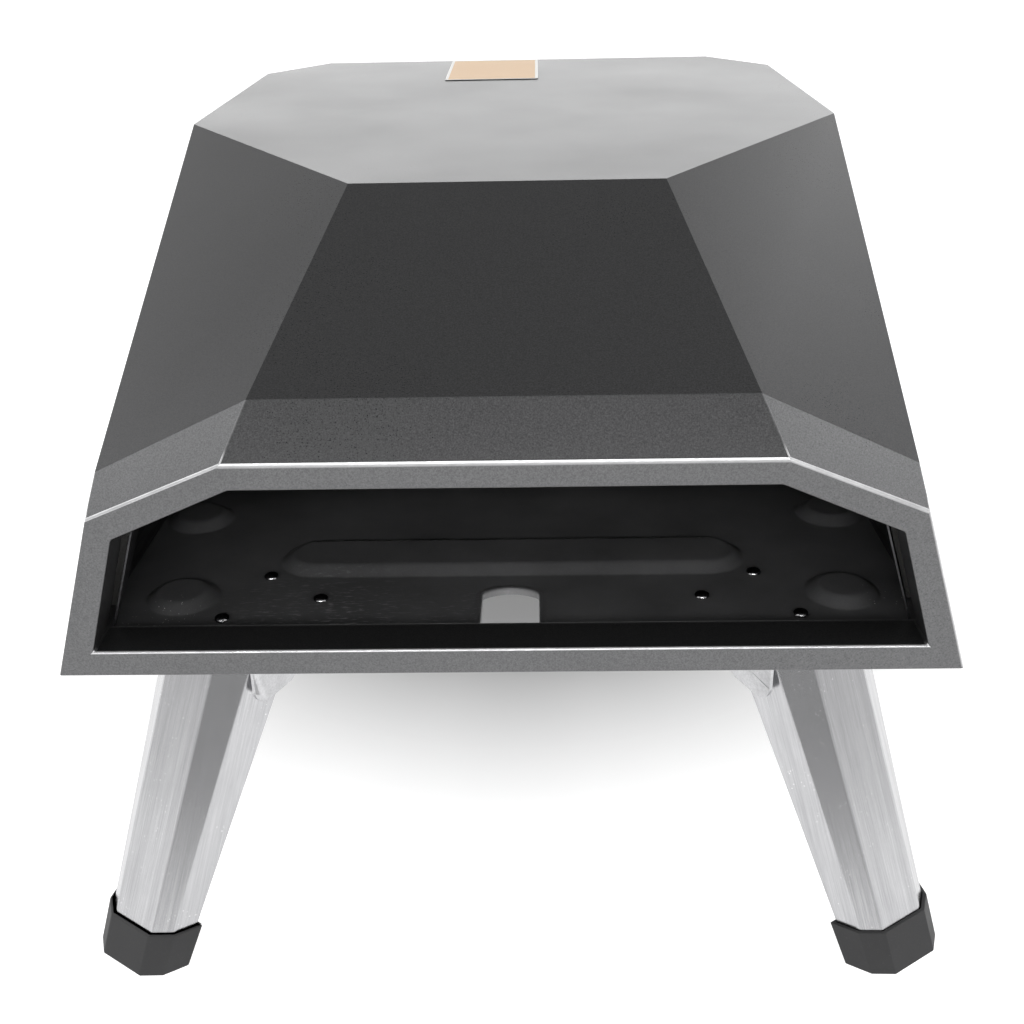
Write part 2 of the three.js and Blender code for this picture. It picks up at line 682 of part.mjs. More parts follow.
function valveStem() {
  return solid(rodAlongY(4, 0, BURNER.z, VALVE_REAR - 11, KNOB_FRONT + 12, 20));
}

function controlKnob() {
  const profile = [
    [0, 0],
    [KNOB.radius, 0],
    [KNOB.radius, 4],
    [KNOB.radius - 2.5, KNOB.depth - 2],
    [KNOB.radius - 4, KNOB.depth - 1],
    [0, KNOB.depth - 1],
  ];
  const skirt = solid(turned(profile, 36).rotateX(-Math.PI / 2));
  const ridge = box(-4, 4, KNOB.depth - 5, KNOB.depth, -KNOB.radius + 5, KNOB.radius - 2);
  const flutes = [];
  for (let i = 0; i < 12; i += 1) {
    const angle = (i * Math.PI) / 6;
    const reach = KNOB.radius + 1.2;
    flutes.push(
      solid(rodAlongY(3, reach * Math.cos(angle), reach * Math.sin(angle), 5, KNOB.depth + 5, 10)),
    );
  }
  const bore = solid(rodAlongY(4.3, 0, 0, -5, 12.5, 20));
  const knob = cut(join(cut(skirt, ...flutes), ridge), bore);
  return geometryOf(knob).translate(0, KNOB_FRONT, BURNER.z);
}

function knobBezel() {
  const y0 = HOUSING_REAR + GAP;
  const disc = solid(rodAlongY(KNOB.radius + 5, 0, BURNER.z, y0, y0 + 1.6, 36));
  return cut(disc, solid(rodAlongY(4.6, 0, BURNER.z, y0 - 5, y0 + 5, 20)));
}

function gasInlet() {
  const y = VALVE_MIDDLE;
  const z = INLET_Z;
  const wall = HOUSING.halfWidth;
  const body = join(
    solid(rodAlongX(5, y, z, 16, wall + 24, 18)),
    solid(rodAlongX(10, y, z, wall + GAP, wall + 9, 6)),
    solid(rodAlongX(6.2, y, z, wall + 8, wall + 22, 18)),
  );
  return cut(body, solid(rodAlongX(3.2, y, z, 12, wall + 40, 14)));
}

function inletNut() {
  const wall = HOUSING.halfWidth - SHEET - GAP;
  const nut = solid(rodAlongX(10, VALVE_MIDDLE, INLET_Z, wall - 5, wall, 6));
  return cut(nut, solid(rodAlongX(5.4, VALVE_MIDDLE, INLET_Z, wall - 9, wall + 4, 18)));
}

const BUTTON_TRAVEL = 5;

function igniterBody() {
  const y1 = HOUSING_REAR - SHEET - GAP;
  const y0 = y1 - 34;
  const barrel = solid(rodAlongY(10, IGNITER_X, BURNER.z, y0, y1, 24));
  const bore = solid(rodAlongY(7.6, IGNITER_X, BURNER.z, y1 - 16, y1 + 5, 24));
  const tag = box(IGNITER_X - 3, IGNITER_X + 3, y0 - 6, y0 + 1, BURNER.z - 0.6, BURNER.z + 0.6);
  return cut(join(barrel, tag), bore);
}

function igniterCollar() {
  const y0 = HOUSING_REAR + GAP;
  const ring = solid(rodAlongY(11.5, IGNITER_X, BURNER.z, y0, y0 + 3, 28));
  return cut(ring, solid(rodAlongY(7.9, IGNITER_X, BURNER.z, y0 - 5, y0 + 8, 24)));
}

function igniterButton() {
  const y1 = HOUSING_REAR + GAP + 3 + BUTTON_TRAVEL;
  const y0 = HOUSING_REAR - SHEET - 8;
  const profile = [
    [0, 0],
    [7.3, 0],
    [7.3, y1 - y0 - 1.2],
    [6.2, y1 - y0],
    [0, y1 - y0],
  ];
  return turned(profile, 24).rotateX(-Math.PI / 2).translate(IGNITER_X, y0, BURNER.z);
}

function ratingLabel() {
  const z0 = TOP_Z + GAP;
  const { left, right, front, rear, film } = LABEL;
  return box(left, right, front, rear, z0, z0 + film);
}

// ---- Assembly
place("hood_shell", hoodShell(), powderCoat);
place("front_frame", frontFrame(), powderCoat);
place("floor_pan", floorPan(), panSteel);
place("rear_panel", rearPanel(), powderCoat);
place("inner_liner", innerLiner(), linerSteel);
place("insulation_blanket", insulation(), fibre);
place("rating_label", ratingLabel(), labelFilm);

for (const [x, z] of SCREW_POINTS) {
  const level = z === SCREW_POINTS[0][1] ? "lower" : "upper";
  place(`rear_screw_left_${level}`, rearScrew(-x, z), brightSteel);
  place(`rear_screw_right_${level}`, rearScrew(x, z), brightSteel);
}

place("burner_tube", burnerTube(), brushedSteel);
place("burner_saddle_left", burnerSaddle(-60), brushedSteel);
place("burner_saddle_right", burnerSaddle(60), brushedSteel);
place("flame_guard", flameGuard(), linerSteel);
place("igniter_electrode", electrode(), glazedCeramic);
place("burner_housing", burnerHousing(), powderCoat);
place("gas_valve", gasValve(), brass);
place("gas_jet", gasJet(), brass);
place("valve_stem", valveStem(), brightSteel);
place("control_knob", controlKnob(), blackPlastic);
place("knob_bezel", knobBezel(), brightSteel);
place("gas_inlet", gasInlet(), brass);
place("inlet_nut", inletNut(), brass);
place("igniter_body", igniterBody(), blackPlastic);
place("igniter_collar", igniterCollar(), brightSteel);
place("igniter_button", igniterButton(), blackPlastic);

for (const { name, x, y } of rivetPoints()) place(name, panRivet(x, y), brightSteel);

for (const { name, x, y, yaw, hand } of legCorners()) {
  const mount = new THREE.Group();
  mount.position.set(x, y, PIVOT.z);
  mount.rotation.z = yaw;
  oven.add(mount);
  place(`leg_bracket_${name}`, legBracket(hand), brushedSteel, mount);
  place(`leg_${name}`, legChannel(), brushedSteel, mount);
  place(`leg_pin_${name}`, legPin(), brightSteel, mount);
  place(`foot_${name}`, footCap(), rubber, mount);
}

export default oven;
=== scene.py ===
"""The visual model of a portable faceted pizza oven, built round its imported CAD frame.

Sheet-metal pieces are made as one surface with rounded folds and then given their thickness.
Lengths are in millimetres in the row frame until a piece is made, and then in metres.
"""

import math

import bmesh
import bpy
from mathutils import Matrix, Vector
from mathutils.geometry import delaunay_2d_cdt


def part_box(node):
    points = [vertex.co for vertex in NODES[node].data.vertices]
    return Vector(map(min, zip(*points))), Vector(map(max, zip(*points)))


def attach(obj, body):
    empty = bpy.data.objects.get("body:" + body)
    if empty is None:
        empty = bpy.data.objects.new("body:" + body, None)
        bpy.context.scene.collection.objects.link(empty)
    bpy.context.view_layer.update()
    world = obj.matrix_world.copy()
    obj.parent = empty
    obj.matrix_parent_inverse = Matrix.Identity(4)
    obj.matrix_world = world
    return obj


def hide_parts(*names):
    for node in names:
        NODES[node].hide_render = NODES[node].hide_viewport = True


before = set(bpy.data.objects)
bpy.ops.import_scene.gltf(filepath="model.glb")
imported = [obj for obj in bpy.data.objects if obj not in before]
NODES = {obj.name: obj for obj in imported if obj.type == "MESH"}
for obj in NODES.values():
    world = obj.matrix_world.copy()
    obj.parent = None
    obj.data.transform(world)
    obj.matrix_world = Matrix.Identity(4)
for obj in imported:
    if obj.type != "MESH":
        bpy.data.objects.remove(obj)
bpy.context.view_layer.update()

MM = 0.001
MIDDLE_Y = 336.3  # the row frame's origin lies this far behind the front face

# ---- Camera and lights, in metres, degrees and watts
CAMERA_PLACE = (0.01579, -0.83537, 0.49380)
CAMERA_PITCH, CAMERA_HEADING, CAMERA_ROLL = 26.01, -1.45, 1.25
CAMERA_LENS, CAMERA_SENSOR = 46.95, 36
SOFTBOXES = [  # name, place, point it faces, width and height, power
    ("softbox_right", (1.55, -0.8, 1.75), (0, -0.1, 0.25), (1.3, 1.1), 8),
    ("softbox_left", (-1.55, -0.8, 1.75), (0, -0.1, 0.25), (1.3, 1.1), 7),
    ("wash_right", (2.3, 0.1, 1.7), (0, 0, 0), (1.0, 1.0), 26),
    ("wash_left", (-2.3, 0.1, 1.7), (0, 0, 0), (1.0, 1.0), 24),
    ("softbox_strip", (0, -2.5, 1.22), (0, -0.3, 0.27), (2.0, 0.3), 19),
    ("softbox_top", (0, -1.1, 2.4), (0, -0.2, 0.25), (1.2, 0.6), 3),
    ("softbox_rear", (0.9, 6.4, 1.8), (0.0, 0.1, 0.3), (7.0, 2.2), 60),
]
ROOM_STOPS = [(0.0, 1.0), (0.12, 0.85), (0.42, 0.42), (0.75, 0.2)]  # height of the ray, grey
WALL_NEAR, WALL_EDGE, WALL_GREY = -0.93, -0.72, 0.4  # Y of the ray, and how dark the wall is
FLOOR_SIZE = 25
# The floor's glow is none within GLOW_FROM of GLOW_CENTRE and full from GLOW_FULL, a painted shade
# under the oven.
GLOW_CENTRE, GLOW_FROM, GLOW_FULL, GLOW_STRENGTH = (0, 0.1, 0), 0.14, 0.37, 1.1

# ---- Sizes shared with the CAD part
SHEET = 1.2
LINER_SHEET = 0.8
FLOOR_TOP = 172.2
SILL_DEPTH = 22
DIMPLES = [(160.5, 68), (-160.5, 68), (171, 155), (-171, 155)]
DIMPLE_RADIUS = 17.8
RIB_Y, RIB_HALF_LENGTH, RIB_RADIUS = 106, 118, 19
HOLE_Y, HOLE_RADIUS, HOLE_HALF_WIDTH, HOLE_EASE = 51.5, 22, 13.7, 3.5
PIVOT_X, PIVOT_Y, PIVOT_Z = 142, 79.3, 144
BODY_DEPTH = 606
LEG_LEAN, LEG_TURN = 25, 35
LEG_SHEET = 1.8
LEG_FACE = -25
LEG_UPPER = {"z": -12, "web": 15.5, "bend": 30.2, "depth": 9.5, "edge": 37.6, "edge_depth": 25}
LEG_LOWER = {"z": -150, "web": 13.4, "bend": 22.5, "depth": 6, "edge": 26.7, "edge_depth": 15.1}
LEG_END = 14.8
LEG_HALF_WIDTH = 37.6
LEG_CUT_HEIGHT = 3.8  # each leg ends this far above the ground, inside its foot
LEG_STOCK, LEG_ROWS = 190, 12  # length before the cut, and rows of faces along it
EAR_RADIUS = 11
PIN_OVERHANG = 2.9  # from a leg's side to the shoulder of its pin's head

# ---- Folds and pressings
HOOD_CORNER, HOOD_FOLD = 7, 1.3
FRAME_CORNER, FRAME_LIP, FRAME_FOLD = 3.4, 3.0, 1.1
LINER_FOLD, HOUSING_FOLD, PAN_FOLD = 1.5, 2.0, 1.4
LEG_FOLD = 3.5
# Outlines of a pressing as (distance outward, height above the floor), from foot to top.
EMBOSS_STEPS = [
    (1.2, 0.0), (0.25, 0.05), (-0.5, 0.42), (-1.6, 1.3), (-3.2, 2.55),
    (-4.7, 3.6), (-5.6, 4.15), (-6.6, 4.43), (-7.8, 4.5),
]
COLLAR_STEPS = [
    (4.2, 0.0), (3.1, 0.1), (2.2, 0.45), (1.2, 0.75),
    (0.5, 0.55), (0.1, 0.1), (0.0, -0.7), (0.0, -3.2),
]


# ---- Camera, light and floor
def make_camera():
    angles = (CAMERA_PITCH, CAMERA_HEADING, CAMERA_ROLL)
    pitch, heading, roll = (math.radians(a) for a in angles)
    forward = Vector(
        (math.sin(heading) * math.cos(pitch), math.cos(heading) * math.cos(pitch), -math.sin(pitch))
    )
    right = Vector((math.cos(heading), -math.sin(heading), 0))
    down = forward.cross(right)
    across = math.cos(roll) * right + math.sin(roll) * down
    upward = math.sin(roll) * right - math.cos(roll) * down
    data = bpy.data.cameras.new("camera")
    data.lens, data.sensor_width = CAMERA_LENS, CAMERA_SENSOR
    data.clip_start, data.clip_end = 0.01, 100
    camera = bpy.data.objects.new("camera", data)
    turn = Matrix((across, upward, -forward)).transposed().to_4x4()
    camera.matrix_world = Matrix.Translation(CAMERA_PLACE) @ turn
    bpy.context.scene.collection.objects.link(camera)
    bpy.context.scene.camera = camera


def make_softbox(name, place, target, size, watts):
    data = bpy.data.lights.new(name, "AREA")
    data.shape, data.size, data.size_y = "RECTANGLE", size[0], size[1]
    data.energy = watts
    light = bpy.data.objects.new(name, data)
    light.location = place
    light.rotation_mode = "QUATERNION"
    light.rotation_quaternion = (Vector(target) - Vector(place)).to_track_quat("-Z", "Y")
    bpy.context.scene.collection.objects.link(light)


def make_world():
    """A pale room that darkens toward its ceiling, with a dark wall in front of the mouth.

    The camera itself sees plain white, so only reflections and light show the room.
    """
    world = bpy.data.worlds.new("studio")
    world.use_nodes = True
    tree = world.node_tree
    place = tree.nodes.new("ShaderNodeTexCoord")
    parts = tree.nodes.new("ShaderNodeSeparateXYZ")
    tree.links.new(place.outputs["Generated"], parts.inputs[0])
    room = grey_ramp(tree, parts.outputs["Z"], ROOM_STOPS)
    wall = tree.nodes.new("ShaderNodeMapRange")
    tree.links.new(parts.outputs["Y"], wall.inputs[0])
    for key, value in ((1, WALL_NEAR), (2, WALL_EDGE), (3, WALL_GREY), (4, 1.0)):
        wall.inputs[key].default_value = value
    shade = tree.nodes.new("ShaderNodeMath")
    shade.operation = "MULTIPLY"
    tree.links.new(room, shade.inputs[0])
    tree.links.new(wall.outputs[0], shade.inputs[1])
    backdrop = tree.nodes.new("ShaderNodeMath")
    backdrop.operation = "MAXIMUM"
    tree.links.new(shade.outputs[0], backdrop.inputs[0])
    rays = tree.nodes.new("ShaderNodeLightPath")
    tree.links.new(rays.outputs["Is Camera Ray"], backdrop.inputs[1])
    background = tree.nodes["Background"]
    tree.links.new(backdrop.outputs[0], background.inputs["Color"])
    background.inputs["Strength"].default_value = 1.0
    bpy.context.scene.world = world


def grey_ramp(tree, source, stops):
    ramp = tree.nodes.new("ShaderNodeValToRGB")
    tree.links.new(source, ramp.inputs[0])
    elements = ramp.color_ramp.elements
    while len(elements) < len(stops):
        elements.new(0.5)
    for element, (position, grey) in zip(elements, stops):
        element.position = position
        element.color = (grey, grey, grey, 1)
    return ramp.outputs[0]


def make_floor():
    """A pale sweep that glows away from the oven, and takes the oven's shadow below it. Its glow
    fades out near the oven, which paints shade under the body.
    """
    made = bmesh.new()
    bmesh.ops.create_grid(made, x_segments=1, y_segments=1, size=FLOOR_SIZE)
    floor = linked("floor", made)
    paint = Surface("pale_floor", {"Roughness": 0.9, "Specular IOR Level": 0.1})
    paint.feed("Base Color", paint.mix(paint.noise(3, 3), (0.48, 0.48, 0.48), (0.52, 0.52, 0.52)))
    shine = paint.mix(paint.noise(2, 2), (0.84, 0.84, 0.84), (0.88, 0.88, 0.88))
    paint.feed("Emission Color", shine)
    # Painted shade: no glow near GLOW_CENTRE, so the floor under the oven stays darker.
    away = paint.add("VectorMath", {0: paint.place, 1: GLOW_CENTRE}, operation="DISTANCE")
    glow = paint.spread(away.outputs["Value"], GLOW_FROM, GLOW_FULL, 0.0, GLOW_STRENGTH)
    paint.feed("Emission Strength", glow)
    floor.data.materials.append(paint.material)


# ---- Materials
class Surface:
    """A material with one Principled shader, and short ways to add the nodes that feed it."""

    def __init__(self, name, sockets=None):
        self.material = bpy.data.materials.new(name)
        self.material.use_nodes = True
        self.tree = self.material.node_tree
        self.shader = self.tree.nodes["Principled BSDF"]
        for key, value in (sockets or {}).items():
            self.shader.inputs[key].default_value = value
        self.place = self.add("TexCoord").outputs["Object"]

    def add(self, kind, sockets=None, **settings):
        node = self.tree.nodes.new("ShaderNode" + kind)
        for key, value in settings.items():
            setattr(node, key, value)
        for key, value in (sockets or {}).items():
            if isinstance(value, bpy.types.NodeSocket):
                self.tree.links.new(value, node.inputs[key])
            elif node.inputs[key].type == "RGBA":
                node.inputs[key].default_value = (*value, 1)
            else:
                node.inputs[key].default_value = value
        return node

    def feed(self, key, output):
        self.tree.links.new(output, self.shader.inputs[key])

    def stretched(self, source, scale):
        return self.add("Mapping", {"Vector": source, "Scale": scale}).outputs[0]

    def noise(self, scale, detail=3, roughness=0.55, source=None):
        sockets = {"Vector": source or self.place, "Scale": scale, "Detail": detail}
        return self.add("TexNoise", {**sockets, "Roughness": roughness}).outputs["Fac"]

    def cells(self, scale, source=None):
        sockets = {"Vector": source or self.place, "Scale": scale}
        return self.add("TexVoronoi", sockets).outputs["Distance"]

    def spread(self, value, low, high, to_low=0.0, to_high=1.0):
        sockets = {0: value, 1: low, 2: high, 3: to_low, 4: to_high}
        return self.add("MapRange", sockets).outputs[0]

    def math(self, operation, a, b):
        return self.add("Math", {0: a, 1: b}, operation=operation).outputs[0]

    def mix(self, factor, a, b):
        return self.add("Mix", {0: factor, 6: a, 7: b}, data_type="RGBA").outputs[2]

    def near(self, point, inner, outer):
        """1 within inner millimetres of a point, falling to 0 at outer."""
        centre = (point[0] * MM, (point[1] - MIDDLE_Y) * MM, point[2] * MM)
        away = self.add("VectorMath", {0: self.place, 1: centre}, operation="DISTANCE")
        return self.spread(away.outputs["Value"], inner * MM, outer * MM, 1.0, 0.0)

    def bump(self, height, distance, strength=1.0, under=None):
        sockets = {"Height": height, "Distance": distance, "Strength": strength}
        if under is not None:
            sockets["Normal"] = under
        return self.add("Bump", sockets).outputs[0]


def powder_coat():
    made = Surface("powder_coat", {"Metallic": 0.9, "Coat Weight": 0.0})
    grain = made.noise(1500, 2, 0.7)
    patches = made.noise(9, 4)
    tone = made.mix(made.spread(grain, 0.3, 0.7), (0.1, 0.101, 0.103), (0.165, 0.165, 0.168))
    tone = made.mix(made.spread(patches, 0.35, 0.7, 0.0, 0.12), tone, (0.08, 0.08, 0.082))
    # Painted highlight: the faces of the front folds that face upward are lightened toward pale grey,
    # a little unevenly.
    fold = made.add("Attribute", attribute_name="fold").outputs["Fac"]
    highlight_unevenness = made.spread(made.noise(90, 3, 0.6), 0.3, 0.7, 0.75, 1.0)
    depth = made.add("SeparateXYZ", {0: made.place}).outputs["Y"]
    front = made.spread(depth, (1.5 - MIDDLE_Y) * MM, (4 - MIDDLE_Y) * MM, 1.0, 0.12)
    facing = made.add("SeparateXYZ", {0: made.add("NewGeometry").outputs["Normal"]}).outputs["Z"]
    upward = made.spread(facing, 0.02, 0.3)
    # The painted highlight mask: fold faces, broken up by noise, at the front face only.
    scuff_and_highlight_mask = made.math("MULTIPLY", made.math("MULTIPLY", fold, highlight_unevenness), front)
    tone = made.mix(made.math("MULTIPLY", scuff_and_highlight_mask, upward), tone, (0.8, 0.8, 0.81))
    made.feed("Base Color", tone)
    rough = made.spread(grain, 0.3, 0.7, 0.28, 0.38)
    made.feed("Roughness", made.math("ADD", rough, made.spread(patches, 0.3, 0.7, -0.02, 0.02)))
    made.feed("Normal", made.bump(grain, 0.00006, 0.3))
    return made.material


def pan_coat():
    made = Surface("pan_coat", {"Metallic": 0.1})
    grain = made.noise(1300, 2, 0.7)
    blotch = made.noise(26, 5, 0.62)
    tone = made.mix(made.spread(blotch, 0.3, 0.75), (0.1, 0.1, 0.102), (0.155, 0.155, 0.158))
    tone = made.mix(made.spread(grain, 0.5, 0.75, 0.0, 0.3), tone, (0.2, 0.2, 0.2))
    # Faint scuffs near the front edge, mostly left of the finger hole.
    streaks = made.noise(1, 4, 0.6, made.stretched(made.place, (190, 900, 300)))
    scuffed = made.near((-92, 44, FLOOR_TOP), 22, 60)
    scuff_and_highlight_mask = made.near((-20, 40, FLOOR_TOP), 15, 45)
    scuffed = made.math("MAXIMUM", scuffed, made.math("MULTIPLY", scuff_and_highlight_mask, 0.6))
    scuff = made.math("MULTIPLY", made.spread(streaks, 0.56, 0.72), scuffed)
    tone = made.mix(made.math("MULTIPLY", scuff, 0.5), tone, (0.6, 0.6, 0.6))
    # Light dust in front of the two outer dimples.
    dots = made.spread(made.cells(620), 0.1, 0.22, 1.0, 0.0)
    picked = made.spread(made.noise(900, 2), 0.5, 0.56)
    left, right = made.near((-168, 48, FLOOR_TOP), 8, 26), made.near((178, 60, FLOOR_TOP), 2, 20)
    dusty = made.math("MAXIMUM", left, right)
    dust = made.math("MULTIPLY", made.math("MULTIPLY", dots, picked), dusty)
    tone = made.mix(made.spread(dust, 0.2, 0.6), tone, (0.9, 0.9, 0.88))
    made.feed("Base Color", tone)
    rough = made.spread(blotch, 0.3, 0.7, 0.3, 0.4)
    made.feed("Roughness", made.math("ADD", rough, made.math("MULTIPLY", scuff, 0.2)))
    made.feed("Normal", made.bump(grain, 0.0001, 0.45))
    return made.material


def steel(name, dark, light, rough, grain_scale, along=(1, 1, 1), from_uv=False, wear=0.0):
    """Sheet steel with a grain: grain_scale is how many lines there are to a metre."""
    made = Surface(name, {"Metallic": 1.0})
    source = made.add("UVMap", uv_map="grain").outputs[0] if from_uv else made.place
    fine = made.noise(grain_scale, 4, 0.75, made.stretched(source, along))
    broad = made.noise(grain_scale / 7, 3, 0.6, made.stretched(source, along))
    cloud = made.noise(38, 4, 0.6)
    lines = made.math("ADD", made.math("MULTIPLY", fine, 0.65), made.math("MULTIPLY", broad, 0.35))
    tone = made.mix(made.spread(lines, 0.32, 0.68), dark, light)
    tone = made.mix(made.spread(cloud, 0.4, 0.75, 0.0, 0.3), tone, dark)
    if wear:
        spots = made.spread(made.cells(420), 0.06, 0.2, 1.0, 0.0)
        spots = made.math("MULTIPLY", spots, made.spread(made.noise(70, 3), 0.52, 0.62))
        tone = made.mix(made.math("MULTIPLY", spots, wear), tone, (0.9, 0.9, 0.9))
    made.feed("Base Color", tone)
    rough_low, rough_high = rough
    made.feed("Roughness", made.spread(lines, 0.3, 0.7, rough_high, rough_low))
    made.feed("Normal", made.bump(lines, 0.00004, 0.5))
    return made.material


def bright_steel():
    made = Surface("bright_steel", {"Metallic": 1.0})
    scratch = made.noise(500, 4, 0.7, made.stretched(made.place, (1, 3, 1)))
    tone = made.mix(made.spread(scratch, 0.3, 0.7), (0.5, 0.51, 0.53), (0.72, 0.73, 0.75))
    made.feed("Base Color", tone)
    made.feed("Roughness", made.spread(scratch, 0.35, 0.7, 0.12, 0.24))
    made.feed("Normal", made.bump(scratch, 0.00003, 0.3))
    return made.material


def dark_chrome():
    made = Surface("dark_chrome", {"Metallic": 1.0})
    cloud = made.noise(900, 3, 0.6)
    tone = made.mix(made.spread(cloud, 0.3, 0.7), (0.5, 0.5, 0.51), (0.66, 0.66, 0.67))
    made.feed("Base Color", tone)
    made.feed("Roughness", made.spread(cloud, 0.35, 0.7, 0.1, 0.2))
    made.feed("Normal", made.bump(cloud, 0.00002, 0.3))
    return made.material


def brass():
    made = Surface("brass", {"Metallic": 1.0})
    rings = made.noise(420, 3, 0.6, made.stretched(made.place, (6, 1, 1)))
    stain = made.noise(60, 4, 0.6)
    tone = made.mix(made.spread(rings, 0.3, 0.7), (0.58, 0.43, 0.2), (0.78, 0.62, 0.34))
    tone = made.mix(made.spread(stain, 0.5, 0.75, 0.0, 0.5), tone, (0.34, 0.24, 0.12))
    made.feed("Base Color", tone)
    made.feed("Roughness", made.spread(stain, 0.3, 0.7, 0.22, 0.4))
    made.feed("Normal", made.bump(rings, 0.00004, 0.4))
    return made.material


def rubber():
    made = Surface("foot_rubber", {"Specular IOR Level": 0.42})
    grain = made.noise(1400, 3, 0.7)
    cloud = made.noise(45, 4, 0.6)
    tone = made.mix(made.spread(cloud, 0.3, 0.7), (0.02, 0.02, 0.021), (0.034, 0.034, 0.035))
    tone = made.mix(made.spread(grain, 0.6, 0.8, 0.0, 0.5), tone, (0.09, 0.09, 0.09))
    made.feed("Base Color", tone)
    made.feed("Roughness", made.spread(cloud, 0.3, 0.7, 0.55, 0.7))
    made.feed("Normal", made.bump(grain, 0.00012, 0.6))
    return made.material


def plastic():
    made = Surface("black_plastic", {"Specular IOR Level": 0.5})
    grain = made.noise(2200, 2, 0.6)
    cloud = made.noise(60, 3, 0.6)
    tone = made.mix(made.spread(cloud, 0.3, 0.7), (0.016, 0.016, 0.017), (0.028, 0.028, 0.03))
    made.feed("Base Color", tone)
    made.feed("Roughness", made.spread(grain, 0.3, 0.7, 0.34, 0.46))
    made.feed("Normal", made.bump(grain, 0.00006, 0.5))
    return made.material


def printed(name, dark, light):
    """Matt printed film or ink."""
    made = Surface(name, {"Specular IOR Level": 0.4})
    paper = made.noise(800, 4, 0.65)
    made.feed("Base Color", made.mix(made.spread(paper, 0.3, 0.7), dark, light))
    made.feed("Roughness", made.spread(paper, 0.3, 0.7, 0.4, 0.52))
    made.feed("Normal", made.bump(made.noise(120, 2), 0.00005, 0.3))
    return made.material


def fibre():
    made = Surface("ceramic_fibre", {"Roughness": 0.95, "Sheen Weight": 0.2})
    strands = made.noise(700, 5, 0.7, made.stretched(made.place, (1, 0.3, 1)))
    made.feed("Base Color", made.mix(strands, (0.07, 0.068, 0.065), (0.14, 0.138, 0.132)))
    made.feed("Normal", made.bump(strands, 0.0006, 0.8))
    return made.material


def ceramic():
    made = Surface("glazed_ceramic", {"Coat Weight": 0.5, "Coat Roughness": 0.1})
    speck = made.noise(500, 3, 0.6)
    tone = made.mix(made.spread(speck, 0.55, 0.7), (0.86, 0.85, 0.81), (0.7, 0.68, 0.62))
    made.feed("Base Color", tone)
    made.feed("Roughness", made.spread(speck, 0.3, 0.7, 0.25, 0.4))
    made.feed("Normal", made.bump(speck, 0.00005, 0.3))
    return made.material


def make_materials():
    return {
        "powder_coat": powder_coat(),
        "pan_coat": pan_coat(),
        "liner_steel": steel(
            "liner_steel", (0.05, 0.05, 0.052), (0.14, 0.14, 0.145), (0.42, 0.6), 700, (1, 0.04, 1)
        ),
        "brushed_steel": steel(
            "brushed_steel", (0.42, 0.42, 0.43), (0.66, 0.66, 0.67), (0.28, 0.42), 900, (0.03, 1, 1)
        ),
        "leg_steel": steel(
            "leg_steel", (0.36, 0.36, 0.37), (0.54, 0.54, 0.55), (0.15, 0.27), 1500, (1, 0.018, 1),
            from_uv=True, wear=0.5,
        ),
        "bright_steel": bright_steel(),
        "dark_chrome": dark_chrome(),
        "brass": brass(),
        "foot_rubber": rubber(),
        "black_plastic": plastic(),
        "ceramic_fibre": fibre(),
        "glazed_ceramic": ceramic(),
        "label_film": printed("label_film", (0.72, 0.49, 0.29), (0.78, 0.55, 0.34)),
        "label_border": printed("label_border", (0.82, 0.81, 0.78), (0.9, 0.89, 0.87)),
        "dial_ink": printed("dial_ink", (0.78, 0.78, 0.78), (0.88, 0.88, 0.88)),
    }


# ---- Mesh helpers
def linked(name, made):
    """A new object from a bmesh."""
    mesh = bpy.data.meshes.new(name)
    made.to_mesh(mesh)
    made.free()
    obj = bpy.data.objects.new(name, mesh)
    bpy.context.scene.collection.objects.link(obj)
    return obj


def apply_modifiers(obj):
    graph = bpy.context.evaluated_depsgraph_get()
    shown = obj.evaluated_get(graph)
    mesh = bpy.data.meshes.new_from_object(shown, preserve_all_data_layers=True, depsgraph=graph)
    obj.modifiers.clear()
    obj.data = mesh


def settled(obj, sharp=35):
    """Applies the modifiers, marks the faces that a fold made, and shades bends smooth."""
    apply_modifiers(obj)
    mesh = obj.data
    marks = mesh.attributes.new("fold", "FLOAT", "FACE")
    for face, mark in zip(mesh.polygons, marks.data):
        mark.value = float(face.material_index)
        face.material_index = 0
    mesh.materials.clear()
    mesh.shade_smooth()
    mesh.set_sharp_from_angle(angle=math.radians(sharp))
    normals = obj.modifiers.new("normals", "WEIGHTED_NORMAL")
    normals.keep_sharp = True
    apply_modifiers(obj)
    return obj


def add_bevel(obj, width, segments, by_weight=False, angle=30):
    """Rounds the folds. The faces that it makes have material 1, which settled() reads."""
    for _ in range(2 - len(obj.data.materials)):
        obj.data.materials.append(None)
    bevel = obj.modifiers.new("bevel", "BEVEL")
    bevel.width = width * MM
    bevel.segments = segments
    bevel.limit_method = "WEIGHT" if by_weight else "ANGLE"
    bevel.angle_limit = math.radians(angle)
    bevel.material = 1
    return obj


def add_thickness(obj, sheet):
    """Gives a surface its thickness, inward."""
    solid = obj.modifiers.new("sheet", "SOLIDIFY")
    solid.thickness = sheet * MM
    solid.offset = -1
    solid.use_even_offset = True
    solid.use_quality_normals = True
    return obj


def put(obj, body, slot, *replaced, paint=None):
    """Gives a piece its material and its body, and hides the CAD nodes that it stands for."""
    obj.data.materials.clear()
    obj.data.materials.append(MATERIALS[paint or slot])
    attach(obj, body)
    if replaced:
        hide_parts(*replaced)
    return obj


def named(start):
    return sorted(n for n in NODES if n.startswith(start))


def middle_of(node):
    low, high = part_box(node)
    return (low + high) / 2


